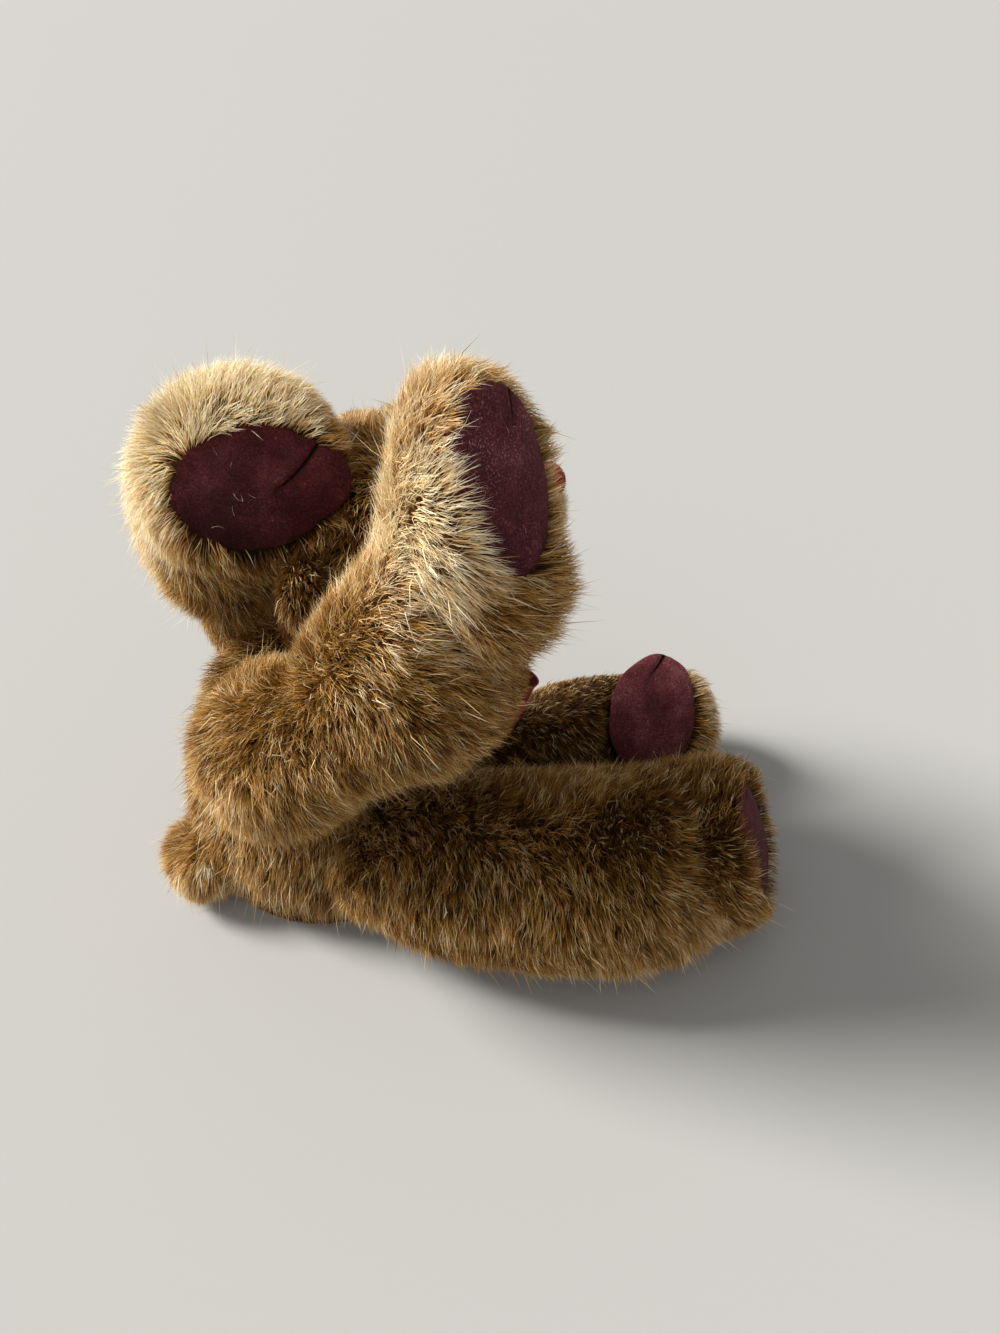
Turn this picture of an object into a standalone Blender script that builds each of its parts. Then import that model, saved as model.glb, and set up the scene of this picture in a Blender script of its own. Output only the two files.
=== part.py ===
"""Worn plush teddy bear, sitting with both arms raised in front of its head.

Frame: metres, +Z up, the bear looks along -Y and its own left is +X. The
origin is the middle of the bounding box on the surface it sits on. Every soft
solid has the outer shape of its fur pile; the velvet soles, the seat panel,
the ribbon and the face trim are separate pieces.
"""
import bpy
import bmesh
import math
import numpy as np
from mathutils import Vector, Matrix

# ---------------------------------------------------------------- dimensions
GAP = 0.0004            # clearance between pieces that touch
CUT = 0.0005            # how far a cutter stands off the piece it copies
SOLE_LONG = 0.0280      # half length of the velvet soles
SOLE_WIDE = 0.0200      # half width of the velvet soles
SOLE_THICK = 0.0042     # crown height of the velvet soles
LIMB_SIDES = 12
HEAD_R = 0.0540         # head radius over the pile
HEAD_C = Vector((0.0130, -0.0560, 0.1390))
FACE = Vector((-0.22, -0.84, 0.49)).normalized()     # the way the face looks
SEAT_T = 0.0032         # thickness of the seat panel
EYE_R = 0.0055
NOSE_R = 0.0075


def v(*c):
    return Vector(c)


# --------------------------------------------------------------- collections
for ob in list(bpy.data.objects):
    bpy.data.objects.remove(ob, do_unlink=True)
for group in (bpy.data.meshes, bpy.data.curves, bpy.data.materials):
    for item in list(group):
        group.remove(item)
for c in list(bpy.data.collections):
    bpy.data.collections.remove(c)

parts = bpy.data.collections.new("teddy_bear")
cutters = bpy.data.collections.new("cutters")
bpy.context.scene.collection.children.link(parts)
bpy.context.scene.collection.children.link(cutters)
root = bpy.data.objects.new("bear_origin", None)
root.empty_display_size = 0.03
parts.objects.link(root)


def material(name, colour, rough, sheen=0.0):
    m = bpy.data.materials.new(name)
    m.use_nodes = True
    p = m.node_tree.nodes["Principled BSDF"]
    p.inputs["Base Color"].default_value = (*colour, 1)
    p.inputs["Roughness"].default_value = rough
    p.inputs["Metallic"].default_value = 0.0
    p.inputs["Sheen Weight"].default_value = sheen
    return m


FUR = (0.30, 0.18, 0.07)
FUR_DARK = (0.16, 0.09, 0.035)
VELVET = (0.055, 0.012, 0.016)
CREAM = (0.62, 0.50, 0.36)
RED = (0.42, 0.03, 0.03)


def add(name, mesh, mat, collection=parts):
    ob = bpy.data.objects.new(name, mesh)
    collection.objects.link(ob)
    ob.parent = root
    if mat is not None:
        mesh.materials.append(mat)
    return ob


def subdivide(ob, levels=1):
    m = ob.modifiers.new("Subdivision", "SUBSURF")
    m.levels = levels
    m.render_levels = levels
    return m


def frame(normal, long_axis):
    n = Vector(normal).normalized()
    m = Vector(long_axis)
    m = (m - n * m.dot(n)).normalized()
    return n, m, n.cross(m)


def tube(name, stations, mat, sides=LIMB_SIDES, levels=1, collection=parts):
    """Extrudes a disc once for each station and sets the rings on ellipses.

    A station is (centre, normal, long axis, half length, half width).
    """
    bm = bmesh.new()
    bmesh.ops.create_circle(bm, cap_ends=True, radius=1.0, segments=sides)
    top = bm.faces[:][0]
    for k in range(len(stations) - 1):
        made = bmesh.ops.extrude_face_region(bm, geom=[top])["geom"]
        if k:       # the first disc stays as the cap, the others were inside
            bmesh.ops.delete(bm, geom=[top], context="FACES_ONLY")
        top = [g for g in made if isinstance(g, bmesh.types.BMFace)][0]
        bmesh.ops.translate(
            bm, vec=(0, 0, 1), verts=[g for g in made if isinstance(g, bmesh.types.BMVert)]
        )
    for p in bm.verts:
        c, n, m, a, b = stations[int(round(p.co.z))]
        n, m, s = frame(n, m)
        p.co = Vector(c) + m * (a * p.co.x) + s * (b * p.co.y)
    bmesh.ops.recalc_face_normals(bm, faces=bm.faces[:])
    if bm.calc_volume(signed=True) < 0:
        bmesh.ops.reverse_faces(bm, faces=bm.faces[:])
    mesh = bpy.data.meshes.new(name)
    bm.to_mesh(mesh)
    bm.free()
    ob = add(name, mesh, mat, collection)
    subdivide(ob, levels)
    return ob


def ball(name, centre, radii, mat, turn=None, segments=24, rings=14, shape=None, collection=parts):
    """A UV sphere scaled to radii, shaped if asked, turned and placed."""
    bm = bmesh.new()
    bmesh.ops.create_uvsphere(bm, u_segments=segments, v_segments=rings, radius=1.0)
    for p in bm.verts:
        q = p.co.copy()
        if shape:
            q = shape(q)
        p.co = Vector((q.x * radii[0], q.y * radii[1], q.z * radii[2]))
    mesh = bpy.data.meshes.new(name)
    bm.to_mesh(mesh)
    bm.free()
    ob = add(name, mesh, mat, collection)
    ob.matrix_basis = Matrix.Translation(centre) @ (turn or Matrix.Identity(4))
    return ob


def look(direction, up=(0, 0, 1)):
    """Rotation that sends local -Y to direction and local +Z near up."""
    y = -Vector(direction).normalized()
    x = Vector(up).cross(-y).normalized() * -1.0
    x = y.cross(Vector(up)).normalized()
    z = x.cross(y).normalized()
    m = Matrix((x, y, z)).transposed()
    return m.to_4x4()


def cutter_of(ob, push=CUT):
    """A copy that follows ob's shape before its cuts, standing push proud of it."""
    keep = [m for m in ob.modifiers if m.type == "SUBSURF"]
    c = bpy.data.objects.new(ob.name + "_cutter", ob.data)
    cutters.objects.link(c)
    c.parent = root
    c.matrix_basis = ob.matrix_basis.copy()
    for m in keep:
        subdivide(c, m.levels)
    d = c.modifiers.new("Stand off", "DISPLACE")
    d.strength = push
    d.mid_level = 0.0
    d.direction = "NORMAL"
    c.hide_render = True
    c.display_type = "WIRE"
    return c


def cut(ob, *others):
    for c in others:
        b = ob.modifiers.new("Cut " + c.name, "BOOLEAN")
        b.operation = "DIFFERENCE"
        b.solver = "EXACT"
        b.object = c


# ------------------------------------------------------------------ materials
m_fur = material("tipped_pile", FUR, 0.9, 0.3)
m_fur_dark = material("tipped_pile_shade", FUR_DARK, 0.9, 0.3)
m_velvet = material("burgundy_velvet", VELVET, 0.85, 0.4)
m_cream = material("cream_plush", CREAM, 0.9, 0.2)
m_red = material("red_ribbon", RED, 0.6)
m_nose = material("red_felt_nose", (0.30, 0.03, 0.03), 0.8)
m_eye = material("dark_eye", (0.01, 0.006, 0.004), 0.15)

# ---------------------------------------------------------------- floor plane
bm = bmesh.new()
bmesh.ops.create_cube(bm, size=1.0)
bmesh.ops.scale(bm, vec=(0.8, 0.8, 0.2), verts=bm.verts[:])
bmesh.ops.translate(bm, vec=(0, 0, -0.1), verts=bm.verts[:])
mesh = bpy.data.meshes.new("floor_cutter")
bm.to_mesh(mesh)
bm.free()
floor_cutter = add("floor_cutter", mesh, None, cutters)
floor_cutter.hide_render = True
floor_cutter.display_type = "WIRE"

# --------------------------------------------------------------------- torso
UP = (0, 0, 1)
FRONT = (0, -1, 0)
TORSO_C = v(-0.0030, -0.0150, 0.0)
torso = tube(
    "torso",
    [
        (TORSO_C + v(0, 0, SEAT_T + GAP), UP, FRONT, 0.0440, 0.0440),
        (TORSO_C + v(0, 0, SEAT_T + GAP + 0.001), UP, FRONT, 0.0520, 0.0510),
        (TORSO_C + v(0, 0, 0.016), UP, FRONT, 0.0600, 0.0590),
        (TORSO_C + v(0, -0.001, 0.040), UP, FRONT, 0.0620, 0.0600),
        (TORSO_C + v(0.001, -0.001, 0.066), (0, -0.12, 1), FRONT, 0.0550, 0.0560),
        (TORSO_C + v(0.003, -0.003, 0.090), (0, -0.2, 1), FRONT, 0.0450, 0.0490),
        (TORSO_C + v(0.004, -0.008, 0.108), (0, -0.3, 1), FRONT, 0.0330, 0.0390),
        (TORSO_C + v(0.005, -0.012, 0.118), (0, -0.4, 1), FRONT, 0.0160, 0.0200),
    ],
    m_fur,
    sides=14,
)
torso_cut = cutter_of(torso)

seat_panel = tube(
    "seat_panel",
    [
        (TORSO_C + v(0, 0, 0), UP, FRONT, 0.0480, 0.0480),
        (TORSO_C + v(0, 0, 0.0001), UP, FRONT, 0.0510, 0.0510),
        (TORSO_C + v(0, 0, 0.0016), UP, FRONT, 0.0540, 0.0540),
        (TORSO_C + v(0, 0, SEAT_T - 0.0001), UP, FRONT, 0.0510, 0.0510),
        (TORSO_C + v(0, 0, SEAT_T), UP, FRONT, 0.0480, 0.0480),
    ],
    m_velvet,
    sides=14,
)
seat_cut = cutter_of(seat_panel)

# ---------------------------------------------------------------------- head
head = ball(
    "head", HEAD_C, (HEAD_R, HEAD_R * 0.98, HEAD_R * 0.97), m_fur, look(FACE),
    segments=28, rings=18,
)
head_cut = cutter_of(head)
cut(head, torso_cut)

side = FACE.cross(Vector((0, 0, 1))).normalized()      # the bear's right
crown = side.cross(FACE).normalized()
if crown.z < 0:
    crown = -crown

muzzle = ball(
    "muzzle", HEAD_C + FACE * (HEAD_R - 0.012) - crown * 0.006,
    (0.0225, 0.0230, 0.0175), m_cream, look(FACE), segments=20, rings=12,
)
muzzle_cut = cutter_of(muzzle)
cut(muzzle, head_cut)

nose = ball(
    "nose", HEAD_C + FACE * (HEAD_R + 0.0085) + crown * 0.0010,
    (NOSE_R * 1.15, NOSE_R * 0.8, NOSE_R * 0.8), m_nose, look(FACE), segments=14, rings=8,
)
cut(nose, muzzle_cut)

eyes = []
for name, s in (("eye_right", 1.0), ("eye_left", -1.0)):
    d = (FACE * 0.88 + side * 0.36 * s + crown * 0.26).normalized()
    eye = ball(name, HEAD_C + d * (HEAD_R - 0.0005), (EYE_R,) * 3, m_eye, look(d), segments=14, rings=8)
    cut(eye, head_cut, muzzle_cut)
    eyes.append(eye)

ears = []
for name, s in (("ear_right", 1.0), ("ear_left", -1.0)):
    d = (side * 0.86 * s + crown * 0.40 - FACE * 0.22).normalized()
    turn = look(FACE + side * 0.25 * s, d)
    ear = ball(
        name, HEAD_C + d * (HEAD_R + 0.003), (0.0175, 0.0085, 0.0165), m_fur, turn,
        segments=16, rings=10,
    )
    cut(ear, head_cut)
    ears.append(ear)

# ---------------------------------------------------------------------- arms
# Each limb runs from inside the body to its sole; the last two stations lie
# in the plane of the sole.
def limb(name, stations, sole_centre, sole_normal, sole_axis, rim, mat):
    """rim: half length, half width, and how far its middle lies from the
    sole's along the sole's long and short axes."""
    n, m, s = frame(sole_normal, sole_axis)
    c = Vector(sole_centre)
    a, b, dm, ds = rim
    o = m * dm + s * ds
    end = [
        (c + o - n * 0.0210, n, m, a * 1.05, b * 1.06),
        (c + o - n * 0.0060, n, m, a * 1.02, b * 1.03),
        (c + o * 0.6, n, m, a * 0.80, b * 0.78),
        (c, n, m, SOLE_LONG * 0.80, SOLE_WIDE * 0.80),
    ]
    return tube(name, list(stations) + end, mat)


def sole(name, centre, normal, axis):
    n, m, s = frame(normal, axis)
    c = Vector(centre) + n * GAP
    return tube(
        name,
        [
            (c, n, m, SOLE_LONG * 0.70, SOLE_WIDE * 0.66),
            (c, n, m, SOLE_LONG * 0.95, SOLE_WIDE * 0.94),
            (c + n * 0.0016, n, m, SOLE_LONG * 1.03, SOLE_WIDE * 1.04),
            (c + n * 0.0034, n, m, SOLE_LONG * 0.93, SOLE_WIDE * 0.90),
            (c + n * SOLE_THICK, n, m, SOLE_LONG * 0.50, SOLE_WIDE * 0.46),
        ],
        m_velvet,
    )


LIMBS = {
    "arm_right": dict(
        stations=[
            (v(-0.0300, 0.0080, 0.0800), (-0.5, -0.3, 0.6), (0, -0.7, 0.7), 0.0240, 0.0240),
            (v(-0.0400, 0.0030, 0.0890), (-0.5, -0.5, 0.7), (0, -0.7, 0.7), 0.0350, 0.0330),
            (v(-0.0510, -0.0130, 0.1080), (-0.35, -0.75, 0.75), (0, -0.7, 0.7), 0.0375, 0.0350),
            (v(-0.0580, -0.0370, 0.1285), (-0.2, -0.8, 0.8), (0.1, 0.5, 0.7), 0.0380, 0.0345),
            (v(-0.0592, -0.0680, 0.1510), (-0.2, -0.8, 0.7), (0.2, 0.5, 0.8), 0.0435, 0.0350),
        ],
        sole=(v(-0.0560, -0.0810, 0.2060), (-0.712, -0.577, 0.401), (0.405, 0.130, 0.906)),
        rim=(0.0490, 0.0315, -0.0095, 0.0003),
    ),
    "arm_left": dict(
        stations=[
            (v(0.0320, 0.0060, 0.0850), (0.3, 0.1, 0.9), (0, -1, 0), 0.0240, 0.0240),
            (v(0.0380, 0.0030, 0.0980), (0.1, 0.1, 1), (0, -1, 0), 0.0280, 0.0300),
            (v(0.0390, 0.0020, 0.1200), (-0.2, 0, 1), (0, -1, 0), 0.0320, 0.0345),
            (v(0.0320, 0.0045, 0.1420), (-0.5, 0, 0.9), (0, -1, 0), 0.0375, 0.0380),
        ],
        sole=(v(-0.0100, -0.0105, 0.1850), (-0.800, -0.061, 0.598), (-0.02, -0.99, 0.09)),
        rim=(0.0400, 0.0385, -0.0050, 0.0050),
    ),
    "leg_right": dict(
        stations=[
            (v(-0.0280, -0.0180, 0.0360), (-0.5, -1, 0), (0, 0, 1), 0.0300, 0.0300),
            (v(-0.0480, -0.0400, 0.0385), (-0.4, -1, 0), (0, 0, 1), 0.0370, 0.0380),
            (v(-0.0640, -0.0720, 0.0385), (-0.3, -1, 0), (0, 0, 1), 0.0395, 0.0430),
            (v(-0.0710, -0.1060, 0.0385), (-0.15, -1, 0), (0, 0, 1), 0.0405, 0.0450),
            (v(-0.0740, -0.1400, 0.0390), (-0.1, -1, 0.05), (0, 0, 1), 0.0405, 0.0430),
        ],
        sole=(v(-0.0720, -0.1805, 0.0400), (-0.370, -0.862, 0.347), (0, 0.2, 1)),
        rim=(0.0395, 0.0380, 0.0000, 0.0000),
    ),
    "leg_left": dict(
        stations=[
            (v(0.0120, -0.0180, 0.0290), (0.1, -1, 0), (0, 0, 1), 0.0240, 0.0260),
            (v(0.0150, -0.0450, 0.0240), (0.0, -1, 0), (0, 0, 1), 0.0240, 0.0300),
            (v(0.0120, -0.0780, 0.0222), (0.0, -1, 0), (0, 0, 1), 0.0228, 0.0310),
            (v(0.0130, -0.1080, 0.0222), (0.1, -1, 0), (0, 0, 1), 0.0230, 0.0310),
            (v(0.0230, -0.1370, 0.0270), (0.1, -1, 0.1), (0.3, 0, 1), 0.0290, 0.0320),
        ],
        sole=(v(0.0057, -0.1637, 0.0369), (-0.696, -0.10, 0.707), (0.60, -0.22, 0.58)),
        rim=(0.0320, 0.0330, -0.0030, -0.0060),
    ),
}
made = {}
for name, spec in LIMBS.items():
    c, n, m = spec["sole"]
    made[name] = limb(name, spec["stations"], c, n, m, spec["rim"], m_fur)
    pad_name = {"arm": "paw_pad_", "leg": "foot_pad_"}[name[:3]] + name[4:]
    made[pad_name] = sole(pad_name, c, n, m)

# ---------------------------------------------------------------------- tail
tail = ball(
    "tail", v(-0.0230, 0.0400, 0.0200), (0.0180, 0.0170, 0.0150), m_fur,
    Matrix.Rotation(math.radians(20), 4, "X"), segments=18, rings=10,
)

# -------------------------------------------------------------- neck ribbon
RIBBON_R = 0.0385       # radius of the band
RIBBON_W = 0.0045       # half width of the band
RIBBON_T = 0.0017       # half thickness of the band
NECK_N = (HEAD_C - v(0.004, -0.012, 0.060)).normalized()
NECK_C = HEAD_C - NECK_N * 0.0400
n, across, out = frame(NECK_N, (1, 0, 0))
if out.y > 0:
    out = -out
bpy.ops.mesh.primitive_torus_add(
    major_radius=RIBBON_R, minor_radius=RIBBON_T, major_segments=36, minor_segments=8
)
neck_ribbon = bpy.context.object
neck_ribbon.name = neck_ribbon.data.name = "neck_ribbon"
for c in list(neck_ribbon.users_collection):
    c.objects.unlink(neck_ribbon)
parts.objects.link(neck_ribbon)
neck_ribbon.parent = root
for p in neck_ribbon.data.vertices:
    p.co.z *= RIBBON_W / RIBBON_T
neck_ribbon.data.materials.append(m_red)
neck_ribbon.matrix_basis = Matrix.Translation(NECK_C) @ Matrix(
    (across, n.cross(across), n)
).transposed().to_4x4()
ribbon_cut = cutter_of(neck_ribbon, 0.0012)

# A ready-made bow sewn on at the throat: two loops through a knot, and two
# tails hanging under it.
KNOT = NECK_C + out * (RIBBON_R + 0.0062)
UPB = (NECK_N * 0.9 + v(0, 0, 0.4)).normalized()
bow = tube(
    "bow",
    [
        (KNOT + v(-0.0335, -0.0200, 0.0030), (-1, -0.5, 0), UPB, 0.0060, 0.0022),
        (KNOT + v(-0.0290, -0.0175, 0.0030), (-1, -0.5, 0), UPB, 0.0105, 0.0046),
        (KNOT + v(-0.0180, -0.0110, 0.0025), (-1, -0.5, 0), UPB, 0.0115, 0.0056),
        (KNOT + v(-0.0070, -0.0040, 0.0005), (-1, -0.3, 0), UPB, 0.0062, 0.0040),
        (KNOT + v(0.0, -0.0010, 0.0), (-1, 0, 0), UPB, 0.0055, 0.0046),
        (KNOT + v(0.0070, -0.0030, 0.0005), (-1, 0.3, 0), UPB, 0.0062, 0.0040),
        (KNOT + v(0.0180, -0.0080, 0.0020), (-1, 0.4, 0), UPB, 0.0115, 0.0056),
        (KNOT + v(0.0290, -0.0120, 0.0020), (-1, 0.4, 0), UPB, 0.0105, 0.0046),
        (KNOT + v(0.0335, -0.0140, 0.0020), (-1, 0.4, 0), UPB, 0.0060, 0.0022),
    ],
    m_red,
    sides=10,
)
tails = tube(
    "bow_tails",
    [
        (KNOT + v(-0.0170, -0.0060, -0.0260), (-0.3, 0, -1), (1, 0, -0.2), 0.0052, 0.0011),
        (KNOT + v(-0.0120, -0.0050, -0.0160), (-0.4, 0, -1), (1, 0, -0.2), 0.0050, 0.0013),
        (KNOT + v(-0.0050, -0.0030, -0.0050), (-0.7, 0, -1), (1, 0, -0.5), 0.0040, 0.0020),
        (KNOT + v(0.0000, -0.0010, -0.0020), (1, 0, 0), (0, 0, 1), 0.0030, 0.0026),
        (KNOT + v(0.0050, -0.0030, -0.0050), (0.7, 0, -1), (1, 0, 0.5), 0.0040, 0.0020),
        (KNOT + v(0.0130, -0.0050, -0.0160), (0.4, 0, -1), (1, 0, 0.2), 0.0050, 0.0013),
        (KNOT + v(0.0180, -0.0060, -0.0260), (0.3, 0, -1), (1, 0, 0.2), 0.0052, 0.0011),
    ],
    None,
    sides=8,
    collection=cutters,
)
tails.hide_render = True
tails.display_type = "WIRE"
join = bow.modifiers.new("Tails", "BOOLEAN")
join.operation = "UNION"
join.solver = "EXACT"
join.object = tails

# ------------------------------------------------------------------ the cuts
limb_cutters = {k: cutter_of(made[k]) for k in made}
cut(torso, ribbon_cut)
cut(head, ribbon_cut, limb_cutters["paw_pad_left"])
cut(muzzle, limb_cutters["arm_right"])
cut(nose, limb_cutters["arm_right"])
for ob in eyes + ears:
    cut(ob, limb_cutters["arm_right"], limb_cutters["arm_left"])
cut(bow, torso_cut, head_cut, ribbon_cut, limb_cutters["arm_right"])
cut(made["arm_right"], torso_cut, head_cut, ribbon_cut)
cut(made["arm_left"], torso_cut, head_cut, ribbon_cut, limb_cutters["arm_right"])
cut(made["leg_right"], torso_cut, seat_cut, floor_cutter)
cut(made["leg_left"], torso_cut, seat_cut, floor_cutter, limb_cutters["leg_right"])
cut(tail, torso_cut)

for ob in parts.objects:
    if ob.type == "MESH":
        ob.data.shade_smooth()

# --------------------------------------------- origin at the box's underside
bpy.context.view_layer.update()
dg = bpy.context.evaluated_depsgraph_get()
lo, hi = np.full(3, 9.0), np.full(3, -9.0)
for ob in parts.objects:
    if ob.type != "MESH":
        continue
    e = ob.evaluated_get(dg)
    mesh = e.to_mesh()
    co = np.empty(len(mesh.vertices) * 3)
    mesh.vertices.foreach_get("co", co)
    w = np.array(e.matrix_world)
    co = co.reshape(-1, 3) @ w[:3, :3].T + w[:3, 3]
    lo, hi = np.minimum(lo, co.min(0)), np.maximum(hi, co.max(0))
    e.to_mesh_clear()
root.location = (-(lo[0] + hi[0]) / 2, -(lo[1] + hi[1]) / 2, -lo[2])
bpy.context.view_layer.update()
print("origin moved by", tuple(round(c, 5) for c in root.location), "size", (hi - lo).round(4))
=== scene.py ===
"""Looks of the worn plush bear: skins, pile, velvet soles, face and ribbon."""
import math
import bpy
import bmesh
import numpy as np
from mathutils import Vector, Matrix
from mathutils.bvhtree import BVHTree


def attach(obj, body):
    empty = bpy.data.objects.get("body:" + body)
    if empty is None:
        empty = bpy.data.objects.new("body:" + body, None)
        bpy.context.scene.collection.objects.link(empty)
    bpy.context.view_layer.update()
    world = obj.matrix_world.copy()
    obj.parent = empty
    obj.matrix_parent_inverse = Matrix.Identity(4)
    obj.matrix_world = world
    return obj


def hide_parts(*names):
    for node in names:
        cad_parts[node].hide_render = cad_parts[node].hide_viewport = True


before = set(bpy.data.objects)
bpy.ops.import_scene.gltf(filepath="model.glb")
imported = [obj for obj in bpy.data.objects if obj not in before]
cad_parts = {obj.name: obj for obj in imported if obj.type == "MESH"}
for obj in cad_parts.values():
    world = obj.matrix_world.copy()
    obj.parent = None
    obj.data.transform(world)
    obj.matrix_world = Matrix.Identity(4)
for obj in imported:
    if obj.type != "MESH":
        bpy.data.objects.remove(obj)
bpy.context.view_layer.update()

OFF = np.array((0.014810, 0.070960, 0.0))     # the model's origin from the sitting frame's
PILE = 0.0085                                  # how far the skins lie under the CAD solids
SOLE_LONG, SOLE_WIDE, GAP = 0.0280, 0.0200, 0.0004
HEAD_R = 0.0540
HEAD_C = np.array((0.0130, -0.0560, 0.1390))
FACE = np.array((-0.22, -0.84, 0.49)); FACE /= np.linalg.norm(FACE)
TORSO_C = np.array((-0.0030, -0.0150, 0.0))
SEAT_T = 0.0032
UP, FRONT = (0, 0, 1), (0, -1, 0)


def unit(a):
    a = np.asarray(a, float)
    return a / np.maximum(np.linalg.norm(a, axis=-1, keepdims=True), 1e-12)


def v(*c):
    return np.array(c, float)


def axes_of(normal, long_axis):
    n = unit(normal)
    m = np.asarray(long_axis, float)
    m = unit(m - n * (m @ n))
    return n, m, np.cross(n, m)


SIDE = unit(np.cross(FACE, (0, 0, 1)))          # the bear's right
CROWN = np.cross(SIDE, FACE)

# ------------------------------------------------------------------- camera
PHI, PITCH = math.radians(10.0), math.radians(42.0)


def turned(p):
    """Turns a (right, away, up) vector of the photo's frame into the model's."""
    return v(
        -math.sin(PHI) * p[0] + math.cos(PHI) * p[1],
        -math.cos(PHI) * p[0] - math.sin(PHI) * p[1],
        p[2],
    )


CAM = turned((0.09, -0.29, 0.36)) + OFF
CR = turned((1, 0, 0))
CU = turned((0, math.sin(PITCH), math.cos(PITCH)))
CF = turned((0, math.cos(PITCH), -math.sin(PITCH)))
camera = bpy.data.cameras.new("camera")
camera.sensor_fit, camera.sensor_width = "AUTO", 36.0
camera.lens = 36.0 * 1000.0 / 1333.0
camera.clip_start, camera.clip_end = 0.01, 20
cam = bpy.data.objects.new("camera", camera)
bpy.context.scene.collection.objects.link(cam)
cam.matrix_world = Matrix(
    [[CR[i], CU[i], -CF[i], CAM[i]] for i in range(3)] + [[0, 0, 0, 1]]
)
bpy.context.scene.camera = cam


# -------------------------------------------------------------------- noise
def _hash(ix, iy, iz, seed):
    h = (ix * 73856093) ^ (iy * 19349663) ^ (iz * 83492791) ^ (seed * 2654435761 % 4294967291)
    h &= 0xFFFFFFFF
    h = ((h ^ (h >> 16)) * 0x45D9F3B) & 0xFFFFFFFF
    h = ((h ^ (h >> 16)) * 0x45D9F3B) & 0xFFFFFFFF
    return ((h ^ (h >> 16)) & 0xFFFFFF) / float(0xFFFFFF)


def noise(p, size, seed):
    """Smooth value noise from -1 to 1 with lattice steps of size metres."""
    q = np.asarray(p) / size + 1000.0
    i = np.floor(q).astype(np.int64)
    f = q - i
    f = f * f * (3 - 2 * f)
    out = 0.0
    for dx in (0, 1):
        for dy in (0, 1):
            for dz in (0, 1):
                w = (
                    (f[:, 0] if dx else 1 - f[:, 0])
                    * (f[:, 1] if dy else 1 - f[:, 1])
                    * (f[:, 2] if dz else 1 - f[:, 2])
                )
                out = out + w * _hash(i[:, 0] + dx, i[:, 1] + dy, i[:, 2] + dz, seed)
    return out * 2 - 1


# ---------------------------------------------------------------- materials
def new_material(name):
    m = bpy.data.materials.new(name)
    m.use_nodes = True
    nt = m.node_tree
    for n in list(nt.nodes):
        nt.nodes.remove(n)
    out = nt.nodes.new("ShaderNodeOutputMaterial")
    return m, nt, out


def node(nt, kind, **values):
    n = nt.nodes.new(kind)
    for k, x in values.items():
        setattr(n, k, x)
    return n


def ramp(nt, stops, source, interpolation="LINEAR"):
    r = nt.nodes.new("ShaderNodeValToRGB")
    r.color_ramp.interpolation = interpolation
    while len(r.color_ramp.elements) > 1:
        r.color_ramp.elements.remove(r.color_ramp.elements[-1])
    r.color_ramp.elements[0].position = stops[0][0]
    r.color_ramp.elements[0].color = (*stops[0][1], 1)
    for pos, col in stops[1:]:
        e = r.color_ramp.elements.new(pos)
        e.color = (*col, 1)
    nt.links.new(source, r.inputs["Fac"])
    return r.outputs["Color"]


def math_node(nt, op, a, b=None):
    n = node(nt, "ShaderNodeMath", operation=op)
    for i, x in enumerate((a, b)):
        if x is None:
            continue
        if isinstance(x, (int, float)):
            n.inputs[i].default_value = x
        else:
            nt.links.new(x, n.inputs[i])
    return n.outputs[0]


def mix_colour(nt, fac, a, b, blend="MIX"):
    n = node(nt, "ShaderNodeMix", data_type="RGBA", blend_type=blend)
    for sock, x in ((n.inputs[0], fac), (n.inputs[6], a), (n.inputs[7], b)):
        if isinstance(x, (int, float)):
            sock.default_value = x
        elif isinstance(x, tuple):
            sock.default_value = (*x, 1)
        else:
            nt.links.new(x, sock)
    return n.outputs[2]


TONES, KINDS = 16, 16


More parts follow.
